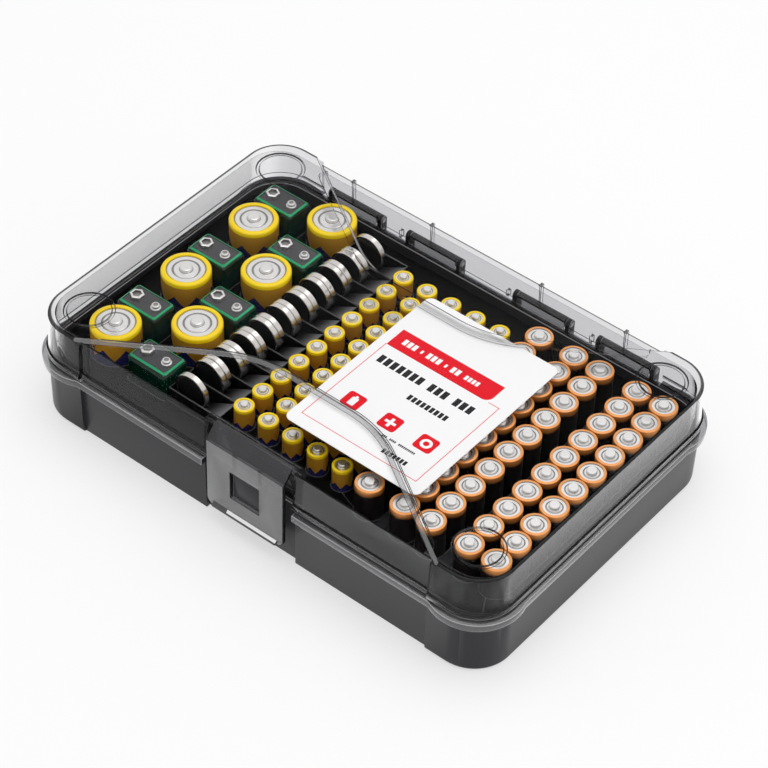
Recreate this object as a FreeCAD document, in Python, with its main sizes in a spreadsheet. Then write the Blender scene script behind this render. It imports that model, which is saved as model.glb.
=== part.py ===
import FreeCAD, Part
import Sketcher
import math
import os
import re

# A flat organiser box for batteries: a dark tub with a rim, an insert with a pierced deck, a clear hinged
# lid with a snap flap, and the cells that the insert holds.
# Millimetres. X runs along the case, Y from its front to its back and Z up. The origin is the middle of the
# footprint, on the surface that the case stands on.

DRIVING_SIZES = [
    # tub and rim
    ("ear_radius", "25"),
    ("side_rim_setback", "1"),
    ("front_rim_setback", "2.5"),
    ("wall_setback", "3.2"),
    ("rim_top", "36"),
    ("rim_thickness", "4.2"),
    ("wall_thickness", "2"),
    ("floor_thickness", "2"),
    ("base_draft", "0.5"),
    ("base_edge_radius", "2.5"),
    ("post_length", "34.3"),
    ("seat_height", "1.2"),
    ("seat_inset", "0.6"),
    ("floor_rib_height", "2.3"),
    ("floor_rib_width", "1.5"),
    # lid
    ("part_gap", "0.3"),
    ("headroom", "3"),
    ("lid_draft", "1.2"),
    ("lid_edge_radius", "1.2"),
    ("bead_height", "3.5"),
    ("bead_reach", "0.7"),
    ("top_thickness", "2"),
    ("step_depth", "1.8"),
    ("step_slope", "1.6"),
    ("step_near_y", "42"),
    ("step_near_half", "38"),
    ("step_angle", "33.3"),
    ("step_corner_radius", "60"),
    ("step_far_radius", "4"),
    ("ring_radius", "12.1"),
    ("ring_width", "1.6"),
    ("ring_depth", "0.8"),
    # hinges
    ("hinge_inner_x", "35.25"),
    ("hinge_outer_x", "88"),
    ("hinge_rise", "5.3"),
    ("knuckle_radius", "2.5"),
    ("knuckle_length", "30"),
    ("lug_width", "3"),
    ("lug_gap", "0.3"),
    ("pin_radius", "1.2"),
    ("pin_clearance", "0.05"),
    ("gate_rib_width", "1.8"),
    ("gate_rib_reach", "0.3"),
    ("slot_width", "1.2"),
    ("slot_rise", "4"),
    ("slot_height", "4.5"),
    # snap flap
    ("flap_width", "48.6"),
    ("flap_setback", "1.5"),
    ("flap_thickness", "2.2"),
    ("flap_low", "11"),
    ("flap_shoulder_drop", "8.4"),
    ("flap_corner_radius", "4"),
    ("flap_lip_height", "3"),
    ("flap_pivot_setback", "8.9"),
    ("flap_pivot_drop", "3.6"),
    ("flap_barrel_radius", "2.3"),
    ("flap_barrel_gap", "0.4"),
    ("stud_reach", "2.6"),
    ("cheek_thickness", "4"),
    ("flap_side_gap", "2.5"),
    ("rim_side_gap", "4.2"),
    ("flap_recess_depth", "8.1"),
    ("window_half_width", "9.1"),
    ("window_height", "17.4"),
    ("window_rise", "4.8"),
    ("window_gap", "0.8"),
    ("catch_overlap", "0.8"),
    ("flap_rib_width", "2"),
    ("flap_rib_reach", "1.5"),
    # insert
    ("tray_gap", "0.4"),
    ("tray_wall", "1.5"),
    ("deck_top", "34"),
    ("deck_thickness", "2"),
    ("pocket_gap", "0.35"),
    ("rack_length", "33.15"),
    ("rack_height", "9"),
    ("rack_wall", "0.6"),
    ("rack_divider", "1"),
    ("ramp_length", "15.5"),
    ("ramp_rise", "8.5"),
    # room round the groups of cells, from left to right and at the back
    ("left_margin", "14.15"),
    ("block_column_gap", "4.7"),
    ("aa_first_gap", "8.2"),
    ("aa_near_gap", "6.8"),
    ("aa_far_gap", "7.9"),
    ("right_margin", "5.45"),
    ("back_margin", "6.3"),
    # cells
    ("aa_diameter", "14.5"),
    ("aa_height", "50.5"),
    ("aa_row_gap", "0.3"),
    ("aa_rows", "10"),
    ("aa_pair_gap", "1.5"),
    ("aaa_diameter", "10.5"),
    ("aaa_height", "44.5"),
    ("aaa_row_gap", "3.2"),
    ("aaa_rows", "10"),
    ("aaa_column_gap", "5.1"),
    ("button_radius", "2.7"),
    ("button_height", "1.5"),
    ("c_diameter", "26.2"),
    ("c_height", "50"),
    ("block_length", "26.5"),
    ("block_depth", "17.5"),
    ("block_height", "46.4"),
    ("block_corner_radius", "2.5"),
    ("snap_spacing", "12.7"),
    ("snap_height", "2.1"),
    ("left_block_y", "11.6"),
    ("right_c_y", "15.3"),
    ("narrow_gap", "0.65"),
    ("wide_gap", "7.95"),
    ("coin_diameter", "20"),
    ("coin_thickness", "3.2"),
    ("coin_gap", "0.3"),
    ("coin_room", "6.6"),
    ("coin_slots", "11"),
    # card
    ("card_width", "82"),
    ("card_length", "113"),
    ("card_thickness", "0.4"),
    ("card_corner_radius", "4"),
    ("card_x", "37.5"),
    ("card_y", "7"),
]

# Sizes that follow from the driving ones: the cells and the room round them set the size of the case.
LAYOUT = [
    # pitches of the cells
    ("aa_pitch", "aa_diameter + aa_row_gap"),
    ("aa_pair_pitch", "aa_diameter + aa_pair_gap"),
    ("aaa_pitch", "aaa_diameter + aaa_row_gap"),
    ("aaa_column_pitch", "aaa_diameter + aaa_column_gap"),
    ("aaa_width", "aaa_diameter + 4 * aaa_column_pitch"),
    ("block_column_pitch", "block_length + block_column_gap"),
    ("narrow_step", "(c_diameter + block_depth) / 2 + narrow_gap"),
    ("wide_step", "(c_diameter + block_depth) / 2 + wide_gap"),
    ("group_pitch", "narrow_step + wide_step"),
    ("coin_pitch", "2 * coin_thickness + coin_gap + coin_room"),
    ("aa_first_y", "aa_pitch * (aa_rows - 1) / 2"),
    ("aaa_first_y", "aaa_pitch * (aaa_rows - 1) / 2"),
    ("coin_first_y", "coin_pitch * (coin_slots - 1) / 2"),
    ("rack_half", "coin_pitch * coin_slots / 2 + rack_divider / 2"),
    # places from left to right, counted from the insert's left end
    ("rack_from_left", "left_margin + block_column_pitch + block_length + pocket_gap"),
    ("aaa_from_left", "rack_from_left + rack_length + 2 * pocket_gap"),
    ("aa_single_from_left", "aaa_from_left + aaa_width + aa_first_gap + aa_diameter / 2"),
    ("aa_near_from_left", "aa_single_from_left + aa_diameter + aa_near_gap"),
    ("aa_far_from_left", "aa_near_from_left + aa_pair_pitch + aa_diameter + aa_far_gap"),
    ("tray_length", "aa_far_from_left + aa_pair_pitch + aa_diameter / 2 + right_margin"),
    ("tray_x", "tray_length / 2"),
    ("tray_y", "right_c_y + group_pitch + c_diameter / 2 + back_margin"),
    ("left_column_x", "left_margin + block_length / 2 - tray_x"),
    ("right_column_x", "left_column_x + block_column_pitch"),
    ("rack_left_x", "rack_from_left - tray_x"),
    ("rack_right_x", "rack_left_x + rack_length"),
    ("coin_x", "rack_left_x + rack_wall + coin_gap + coin_diameter / 2"),
    ("aaa_first_x", "aaa_from_left + aaa_diameter / 2 - tray_x"),
    ("aa_single_x", "aa_single_from_left - tray_x"),
    ("aa_near_x", "aa_near_from_left - tray_x"),
    ("aa_far_x", "aa_far_from_left - tray_x"),
    # whole case
    ("cell_floor", "floor_thickness + floor_rib_height"),
    ("tallest_cell", "max(aa_height; c_height; block_height + snap_height)"),
    ("ceiling", "cell_floor + tallest_cell + headroom + card_thickness + step_depth"),
    ("case_height", "ceiling + top_thickness"),
    ("cavity_x", "tray_x + tray_gap"),
    ("wall_x", "cavity_x + wall_thickness + base_draft"),
    ("case_length", "2 * (wall_x + wall_setback)"),
    ("bump_y", "tray_y + tray_gap"),
    ("flap_recess_y", "bump_y + wall_thickness"),
    ("case_depth", "2 * (flap_recess_y + flap_recess_depth)"),
    ("wall_y", "case_depth / 2 - wall_setback"),
    ("wall_radius", "ear_radius - wall_setback"),
    ("hinge_y", "case_depth / 2 - knuckle_radius"),
    ("hinge_height", "rim_top + hinge_rise"),
    ("hinge_span", "knuckle_length / 2 + lug_gap + lug_width"),
    ("panel_y", "hinge_y - knuckle_radius - part_gap"),
    ("panel_half_length", "wall_x - post_length"),
    ("cavity_y", "panel_y - base_draft - wall_thickness"),
    ("cavity_radius", "wall_radius - base_draft - wall_thickness"),
    ("outside_y", "case_depth / 2 + wall_thickness"),
    ("ear_x", "case_length / 2 - ear_radius"),
    ("ear_y", "case_depth / 2 - ear_radius"),
    ("rim_x", "case_length / 2 - side_rim_setback"),
    ("rim_y", "case_depth / 2 - front_rim_setback"),
    ("rim_low", "rim_top - rim_thickness"),
    ("rim_corner", "ear_radius - side_rim_setback"),
    ("seat_top", "rim_top + seat_height"),
    # lid
    ("lid_low", "seat_top + part_gap"),
    ("bead_top", "lid_low + bead_height"),
    ("lid_inner_x", "wall_x - wall_thickness"),
    ("lid_inner_y", "panel_y - wall_thickness"),
    ("lid_inner_radius", "wall_radius - wall_thickness"),
    ("slot_low", "lid_low + slot_rise"),
    # flap
    ("flap_face", "case_depth / 2 - flap_setback"),
    ("flap_back", "flap_face - flap_thickness"),
    ("flap_pivot_y", "case_depth / 2 - flap_pivot_setback"),
    ("flap_pivot_height", "case_height - flap_pivot_drop"),
    ("flap_shoulder", "case_height - flap_shoulder_drop"),
    ("lid_pocket_y", "flap_pivot_y - flap_barrel_radius - flap_barrel_gap"),
    ("lid_opening_half", "flap_width / 2 + flap_side_gap"),
    ("rim_opening_half", "flap_width / 2 + rim_side_gap"),
    ("window_high", "rim_top + window_rise"),
    ("window_low", "window_high - window_height"),
    ("catch_half", "window_half_width - window_gap"),
    ("catch_low", "window_low + window_gap"),
    ("catch_high", "window_high - window_gap"),
    # insert
    ("rack_top", "deck_top + rack_height"),
    ("ramp_start_x", "rack_right_x - ramp_length"),
]

X_AXIS = FreeCAD.Vector(1, 0, 0)
Y_AXIS = FreeCAD.Vector(0, 1, 0)
Z_AXIS = FreeCAD.Vector(0, 0, 1)
TOLERANCE = 0.001

SHEETS = {"Sizes": dict(DRIVING_SIZES), "Layout": dict(LAYOUT)}


def full(text):
    """Name the sheet of each size in an expression, so that any object can read it."""
    def spell(match):
        word = match.group(0)
        owner = next((name for name, cells in SHEETS.items() if word in cells), None)
        return f"{owner}.{word}" if owner else word
    return re.sub(r"[a-z_]+", spell, text)


doc = FreeCAD.newDocument("battery_case")
for name, cells in SHEETS.items():
    sheet = doc.addObject("Spreadsheet::Sheet", name)
    for row, (alias, content) in enumerate(cells.items(), 1):
        sheet.set(f"A{row}", alias)
        sheet.set(f"B{row}", content if name == "Sizes" else "=" + full(content).replace("Layout.", ""))
        sheet.setAlias(f"B{row}", alias)
    doc.recompute()


# ---- sizes, sketches and features ----

def size(text):
    """The present value of an expression."""
    return float(sheet.evalExpression(full(text)))


def bind(item, prop, text):
    item.setExpression(prop, full(text))


def new_body(name):
    body = doc.addObject("PartDesign::Body", name)
    body.Label = name
    return body


def new_sketch(body, plane, offset="0"):
    """Sketch on an origin plane of its own body, moved along the plane's normal."""
    sketch = body.newObject("Sketcher::SketchObject", "Sketch")
    origin_plane = next(item for item in body.Origin.OriginFeatures if item.Role == plane)
    sketch.AttachmentSupport = [(origin_plane, "")]
    sketch.MapMode = "FlatFace"
    bind(sketch, "AttachmentOffset.Base.z", offset)
    return sketch


def dimension(sketch, kind, where, text):
    index = sketch.addConstraint(Sketcher.Constraint(kind, *where, size(text)))
    sketch.setExpression(f"Constraints[{index}]", full(text))


def place(sketch, geometry, point, across, up):
    """Tie a point to the sketch's origin by its two coordinates."""
    for kind, axis, text in (("DistanceX", -2, across), ("DistanceY", -1, up)):
        if abs(size(text)) < TOLERANCE:
            sketch.addConstraint(Sketcher.Constraint("PointOnObject", geometry, point, axis))
        else:
            dimension(sketch, kind, (-1, 1, geometry, point), text)


def draw_circle(sketch, across, up, radius):
    middle = FreeCAD.Vector(size(across), size(up), 0)
    circle = sketch.addGeometry(Part.Circle(middle, Z_AXIS, size(radius)), False)
    place(sketch, circle, 3, across, up)
    dimension(sketch, "Radius", (circle,), radius)


def draw_polygon(sketch, corners):
    points = [FreeCAD.Vector(size(across), size(up), 0) for across, up in corners]
    lines = [
        sketch.addGeometry(Part.LineSegment(start, end), False)
        for start, end in zip(points, points[1:] + points[:1])
    ]
    for line, following in zip(lines, lines[1:] + lines[:1]):
        sketch.addConstraint(Sketcher.Constraint("Coincident", line, 2, following, 1))
    for line, (across, up) in zip(lines, corners):
        place(sketch, line, 1, across, up)


def draw_box(sketch, left, right, low, high):
    draw_polygon(sketch, [(left, low), (right, low), (right, high), (left, high)])


def draw_rounded(sketch, arcs):
    """Outline of arcs joined by tangent lines; each arc is (across, up, radius, start and end quarter)."""
    quarter = math.pi / 2
    made = []
    for across, up, radius, start, end in arcs:
        circle = Part.Circle(FreeCAD.Vector(size(across), size(up), 0), Z_AXIS, size(radius))
        made.append(sketch.addGeometry(Part.ArcOfCircle(circle, start * quarter, end * quarter), False))
    for arc, following in zip(list(made), made[1:] + made[:1]):
        start = sketch.Geometry[arc].EndPoint
        end = sketch.Geometry[following].StartPoint
        line = sketch.addGeometry(Part.LineSegment(start, end), False)
        sketch.addConstraint(Sketcher.Constraint("Tangent", arc, 2, line, 1))
        sketch.addConstraint(Sketcher.Constraint("Tangent", line, 2, following, 1))
    for arc, (across, up, radius, start, end) in zip(made, arcs):
        place(sketch, arc, 3, across, up)
        dimension(sketch, "Radius", (arc,), radius)


def draw_rounded_box(sketch, half_x, half_y, radius, middle_x="0", middle_y="0"):
    right = f"{middle_x} + ({half_x}) - ({radius})"
    left = f"{middle_x} - ({half_x}) + ({radius})"
    back = f"{middle_y} + ({half_y}) - ({radius})"
    front = f"{middle_y} - ({half_y}) + ({radius})"
    draw_rounded(sketch, [
        (right, front, radius, 3, 4),
        (right, back, radius, 0, 1),
        (left, back, radius, 1, 2),
        (left, front, radius, 2, 3),
    ])


def draw_slot(sketch, across, half_length, radius):
    """Round-ended slot along the sketch's second axis."""
    draw_rounded(sketch, [
        (across, f"({half_length}) - ({radius})", radius, 0, 2),
        (across, f"({radius}) - ({half_length})", radius, 2, 4),
    ])


def draw_arch(sketch, across, up, radius, foot):
    """Round-topped lug: half a circle on a straight stem down to its foot."""
    middle = FreeCAD.Vector(size(across), size(up), 0)
    reach = FreeCAD.Vector(size(radius), 0, 0)
    drop = FreeCAD.Vector(0, size(foot) - size(up), 0)
    circle = Part.Circle(middle, Z_AXIS, size(radius))
    arc = sketch.addGeometry(Part.ArcOfCircle(circle, 0, math.pi))
    left = sketch.addGeometry(Part.LineSegment(middle - reach, middle - reach + drop))
    bottom = sketch.addGeometry(Part.LineSegment(middle - reach + drop, middle + reach + drop))
    right = sketch.addGeometry(Part.LineSegment(middle + reach + drop, middle + reach))
    for first, second in ((arc, left), (right, arc)):
        sketch.addConstraint(Sketcher.Constraint("Tangent", first, 2, second, 1))
    for first, second in ((left, bottom), (bottom, right)):
        sketch.addConstraint(Sketcher.Constraint("Coincident", first, 2, second, 1))
    sketch.addConstraint(Sketcher.Constraint("Horizontal", bottom))
    sketch.addConstraint(Sketcher.Constraint("Vertical", left))
    sketch.addConstraint(Sketcher.Constraint("Vertical", right))
    place(sketch, arc, 3, across, up)
    dimension(sketch, "Radius", (arc,), radius)
    dimension(sketch, "DistanceY", (-1, 1, bottom, 1), foot)


def volume_of(body):
    return body.Shape.Volume if body.Tip else 0.0


def finish_feature(body, feature, before, grows):
    """Recompute and make sure that the feature added or removed material."""
    doc.recompute()
    change = body.Shape.Volume - before
    if (change > 0) != grows or abs(change) < TOLERANCE:
        raise RuntimeError(f"{body.Label}: {feature.Name} changed the volume by {change:.3f}")
    return feature


def extrude(body, kind, sketch, length, backwards=False, symmetric=False, widening=None):
    """Pad or Pocket of a sketch. A Pad follows the plane's normal and a Pocket goes against it.

    The walls can widen evenly, by the given size over the whole length.
    """
    before = volume_of(body)
    feature = body.newObject("PartDesign::" + kind, kind)
    feature.Profile = sketch
    feature.AllowMultiFace = True
    feature.SideType = "Symmetric" if symmetric else "One side"
    feature.Reversed = backwards
    bind(feature, "Length", length)
    if widening:
        bind(feature, "TaperAngle", f"atan(({widening}) / ({length}))")
    return finish_feature(body, feature, before, kind == "Pad")


def round_edges(body, radius, wanted):
    """Fillet the edges of the body's last feature that a test picks out."""
    names = [f"Edge{number}" for number, edge in enumerate(body.Tip.Shape.Edges, 1) if wanted(edge)]
    base = body.Tip
    feature = body.newObject("PartDesign::Fillet", "Fillet")
    feature.Base = (base, names)
    bind(feature, "Radius", radius)
    doc.recompute()
    return feature


def row_of(body, feature, along, length, count):
    """Repeat a feature in a row against an axis of the body."""
    grows = feature.TypeId != "PartDesign::Pocket"
    before = volume_of(body)
    axis = next(item for item in body.Origin.OriginFeatures if item.Role == along)
    pattern = body.newObject("PartDesign::LinearPattern", "LinearPattern")
    pattern.Originals = [feature]
    pattern.Direction = (axis, [""])
    pattern.Reversed = True
    pattern.Mode = "Extent"
    bind(pattern, "Length", length)
    bind(pattern, "Occurrences", count)
    body.Tip = pattern
    return finish_feature(body, pattern, before, grows)


def mirror_of(body, features, plane):
    """Repeat features on the other side of a plane of the body."""
    before = volume_of(body)
    grows = features[0].TypeId != "PartDesign::Pocket"
    mirror = body.newObject("PartDesign::Mirrored", "Mirrored")
    mirror.Originals = features
    mirror.MirrorPlane = (next(item for item in body.Origin.OriginFeatures if item.Role == plane), [""])
    body.Tip = mirror
    return finish_feature(body, mirror, before, grows)


def at_height(edge, height):
    box = edge.BoundBox
    return abs(box.ZMin - height) < TOLERANCE and abs(box.ZMax - height) < TOLERANCE


# ---- what stands where ----

HINGE_CENTRES = ["-hinge_outer_x", "-hinge_inner_x", "hinge_inner_x", "hinge_outer_x"]
AA_COLUMNS = ["aa_single_x", "aa_near_x", "aa_near_x + aa_pair_pitch", "aa_far_x", "aa_far_x + aa_pair_pitch"]
AAA_COLUMNS = [f"aaa_first_x + {step} * aaa_column_pitch" for step in range(5)]
GROUP_ROWS = ("+ group_pitch", "", "- group_pitch")
C_PLACES = [("left_column_x", f"left_block_y - narrow_step {shift}") for shift in GROUP_ROWS]
C_PLACES += [("right_column_x", f"right_c_y {shift}") for shift in GROUP_ROWS]
BLOCK_PLACES = [("left_column_x", f"left_block_y {shift}") for shift in GROUP_ROWS]
BLOCK_PLACES += [("right_column_x", f"right_c_y - wide_step {shift}") for shift in GROUP_ROWS]


def put(body, across, along, up):
    """Place a body by three expressions."""
    for prop, text in (("x", across), ("y", along), ("z", up)):
        bind(body, "Placement.Base." + prop, text)


# ---- tub ----

def draw_shell_outline(sketch, inset):
    draw_rounded_box(sketch, f"wall_x - {inset}", f"wall_y - {inset}", f"wall_radius - {inset}")


def make_case_base():
    body = new_body("case_base")
    outline = new_sketch(body, "XY_Plane")
    draw_shell_outline(outline, "base_draft")
    extrude(body, "Pad", outline, "rim_top", widening="base_draft")
    round_edges(body, "base_edge_radius", lambda edge: at_height(edge, 0))

    # rim: a plate round the tub with a round tab at each corner, and the seat that carries the lid
    rim = new_sketch(body, "XY_Plane", "rim_low")
    draw_rounded_box(rim, "rim_x", "rim_y", "rim_corner")
    extrude(body, "Pad", rim, "rim_thickness")
    ears = new_sketch(body, "XY_Plane", "rim_low")
    for across in ("ear_x", "-ear_x"):
        for along in ("ear_y", "-ear_y"):
            draw_circle(ears, across, along, "ear_radius")
    extrude(body, "Pad", ears, "rim_thickness")
    seat = new_sketch(body, "XY_Plane", "rim_top")
    draw_shell_outline(seat, "seat_inset")
    extrude(body, "Pad", seat, "seat_height")

    # front and back panels set back between the corner posts, below the rim and at the seat
    panels = new_sketch(body, "YZ_Plane")
    for side in ("-", ""):
        draw_polygon(panels, [
            (f"{side}(panel_y - base_draft)", "0"),
            (f"{side}panel_y", "rim_low"),
            (f"{side}outside_y", "rim_low"),
            (f"{side}outside_y", "0"),
        ])
        draw_box(panels, f"{side}(panel_y - seat_inset)", f"{side}outside_y",
                 "rim_top", "seat_top + part_gap")
    extrude(body, "Pocket", panels, "2 * panel_half_length", symmetric=True)

    cavity = new_sketch(body, "XY_Plane", "seat_top")
    draw_rounded_box(cavity, "cavity_x", "cavity_y", "cavity_radius")
    extrude(body, "Pocket", cavity, "seat_top - floor_thickness")

    # long ribs on the floor, two under each column of cells
    ribs = new_sketch(body, "XY_Plane", "floor_thickness")
    columns = [(across, "aa_diameter / 4", "aa_first_y") for across in AA_COLUMNS]
    columns += [(across, "aaa_diameter / 4", "aaa_first_y") for across in AAA_COLUMNS]
    for across in ("left_column_x", "right_column_x"):
        columns.append((across, "c_diameter / 4", "tray_y - back_margin"))
    for across, offset, half_length in columns:
        for side in ("-", "+"):
            middle = f"{across} {side} {offset}"
            draw_box(ribs, f"{middle} - floor_rib_width / 2", f"{middle} + floor_rib_width / 2",
                     f"-({half_length})", half_length)
    extrude(body, "Pad", ribs, "floor_rib_height")

    # bay behind the flap, with the catch in it
    bump = new_sketch(body, "XY_Plane", "floor_thickness / 2")
    draw_box(bump, "-rim_opening_half - wall_thickness", "rim_opening_half + wall_thickness",
             "-cavity_y - wall_thickness / 2", "-bump_y")
    extrude(body, "Pad", bump, "seat_top - floor_thickness / 2")
    bay = new_sketch(body, "XY_Plane")
    draw_box(bay, "-rim_opening_half", "rim_opening_half", "-outside_y", "-flap_recess_y")
    extrude(body, "Pocket", bay, "seat_top + part_gap", backwards=True)
    catch = new_sketch(body, "XZ_Plane", "flap_recess_y")
    draw_box(catch, "-catch_half", "catch_half", "catch_low", "catch_high")
    extrude(body, "Pad", catch, "flap_back + catch_overlap - flap_recess_y")

    # hinge lugs, two to a hinge, with the pin's bore
    for centre in HINGE_CENTRES:
        for start in ("-hinge_span", "hinge_span - lug_width"):
            lug = new_sketch(body, "YZ_Plane", f"{centre} + {start}")
            draw_arch(lug, "hinge_y", "hinge_height", "knuckle_radius", "rim_low")
            extrude(body, "Pad", lug, "lug_width")
    bore = new_sketch(body, "YZ_Plane")
    draw_circle(bore, "hinge_y", "hinge_height", "pin_radius")
    extrude(body, "Pocket", bore, "case_length", symmetric=True)
    return body


# ---- lid ----

def draw_field(sketch, margin, far_y):
    """Half-hexagon of a sunken field, grown by a margin, whose near corners are generously rounded."""
    near_y = f"step_near_y - ({margin})"
    reach = f"({far_y}) - ({near_y})"
    near_radius = f"step_corner_radius + ({margin})"
    near_x = "step_near_half - step_corner_radius * tan(step_angle / 2)"
    corner_x = f"({near_x}) + ({near_radius}) * tan(step_angle / 2)"
    far_x = f"({corner_x}) + ({reach}) / tan(step_angle) - step_far_radius / tan(step_angle / 2)"
    far_centre = f"({far_y}) - step_far_radius"
    turn = size("step_angle") / 90
    draw_rounded(sketch, [
        (near_x, f"{near_y} + {near_radius}", near_radius, 3, 3 + turn),
        (far_x, far_centre, "step_far_radius", turn - 1, 1),
        (f"-({far_x})", far_centre, "step_far_radius", 1, 3 - turn),
        (f"-({near_x})", f"{near_y} + {near_radius}", near_radius, 3 - turn, 3),
    ])


def make_lid():
    body = new_body("lid")
    outline = new_sketch(body, "XY_Plane", "lid_low")
    draw_shell_outline(outline, "0")
    extrude(body, "Pad", outline, "case_height - lid_low", widening="-lid_draft")
    round_edges(body, "lid_edge_radius", lambda edge: at_height(edge, size("case_height")))

    # front and back panels set back between the corner posts
    panels = new_sketch(body, "YZ_Plane")
    for side in ("-", ""):
        draw_polygon(panels, [
            (f"{side}panel_y", "lid_low"),
            (f"{side}(panel_y - lid_draft)", "case_height"),
            (f"{side}outside_y", "case_height"),
            (f"{side}outside_y", "lid_low"),
        ])
    extrude(body, "Pocket", panels, "2 * panel_half_length", symmetric=True)

    # bead along the skirt's lower edge, left off behind, where the hinges are
    bead = new_sketch(body, "XY_Plane", "lid_low")
    draw_shell_outline(bead, "-bead_reach")
    extrude(body, "Pad", bead, "bead_height")
    bead_panels = new_sketch(body, "YZ_Plane")
    draw_box(bead_panels, "-wall_y - wall_thickness", "-panel_y - bead_reach", "lid_low", "bead_top")
    draw_box(bead_panels, "panel_y", "outside_y", "lid_low", "bead_top")
    extrude(body, "Pocket", bead_panels, "2 * panel_half_length", symmetric=True)

    # hollow, narrowing upwards with the walls
    mouth = new_sketch(body, "XY_Plane", "lid_low")
    draw_rounded_box(mouth, "lid_inner_x", "lid_inner_y", "lid_inner_radius")
    extrude(body, "Pocket", mouth, "ceiling - lid_low", backwards=True, widening="-lid_draft")

    # two sunken fields in the top, front and back, of the same thickness as the rest
    under = new_sketch(body, "XY_Plane", "ceiling")
    draw_field(under, "step_slope + wall_thickness / 2", "lid_inner_y - lid_draft + wall_thickness / 4")
    fields = new_sketch(body, "XY_Plane", "case_height")
    draw_field(fields, "0", "outside_y")
    mirror_of(body, [extrude(body, "Pad", under, "step_depth", backwards=True)], "XZ_Plane")
    mirror_of(body, [extrude(body, "Pocket", fields, "step_depth", widening="-step_slope")], "XZ_Plane")

    # a ring groove over each corner
    rings = new_sketch(body, "XY_Plane", "case_height")
    for across in ("ear_x", "-ear_x"):
        for along in ("ear_y", "-ear_y"):
            draw_circle(rings, across, along, "ring_radius + ring_width / 2")
            draw_circle(rings, across, along, "ring_radius - ring_width / 2")
    extrude(body, "Pocket", rings, "ring_depth")

    # bay for the flap: a back wall and two cheeks with the bores of its studs
    block = new_sketch(body, "XY_Plane", "lid_low")
    draw_box(block, "-lid_opening_half - cheek_thickness", "lid_opening_half + cheek_thickness",
             "-panel_y + lid_draft + wall_thickness / 4", "-lid_pocket_y + wall_thickness")
    extrude(body, "Pad", block, "ceiling - lid_low")
    bay = new_sketch(body, "XY_Plane", "lid_low")
    draw_box(bay, "-lid_opening_half", "lid_opening_half", "-outside_y", "-lid_pocket_y")
    extrude(body, "Pocket", bay, "case_height - lid_low", backwards=True)
    bore = new_sketch(body, "YZ_Plane")
    draw_circle(bore, "-flap_pivot_y", "flap_pivot_height", "pin_radius + pin_clearance")
    extrude(body, "Pocket", bore, "2 * (lid_opening_half + stud_reach + part_gap)", symmetric=True)

    # hinge knuckles with the bore for the pins
    for centre in HINGE_CENTRES:
        knuckle = new_sketch(body, "YZ_Plane", f"{centre} - knuckle_length / 2")
        root = "panel_y - wall_thickness / 2"
        draw_box(knuckle, root, "hinge_y", "hinge_height - knuckle_radius", "hinge_height + knuckle_radius")
        extrude(body, "Pad", knuckle, "knuckle_length")
        nose = new_sketch(body, "YZ_Plane", f"{centre} - knuckle_length / 2")
        draw_circle(nose, "hinge_y", "hinge_height", "knuckle_radius")
        extrude(body, "Pad", nose, "knuckle_length")
    pin_bore = new_sketch(body, "YZ_Plane")
    draw_circle(pin_bore, "hinge_y", "hinge_height", "pin_radius + pin_clearance")
    extrude(body, "Pocket", pin_bore, "case_length", symmetric=True)

    # a gate rib above each knuckle and a moulding slot beside it
    ribs = new_sketch(body, "XY_Plane", "hinge_height")
    slots = new_sketch(body, "XZ_Plane", "-case_depth / 2")
    for centre in HINGE_CENTRES:
        draw_box(ribs, f"{centre} - gate_rib_width / 2", f"{centre} + gate_rib_width / 2",
                 "panel_y - lid_draft - wall_thickness / 2", "panel_y + gate_rib_reach")
        slot_x = f"{centre} - hinge_span - slot_width"
        draw_box(slots, f"{slot_x} - slot_width / 2", f"{slot_x} + slot_width / 2", "slot_low",
                 "slot_low + slot_height")
    extrude(body, "Pad", ribs, "case_height - lid_edge_radius - hinge_height")
    extrude(body, "Pocket", slots, "case_depth / 2 - lid_inner_y + lid_draft + wall_thickness",
            backwards=True)
    return body


# ---- flap ----

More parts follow.
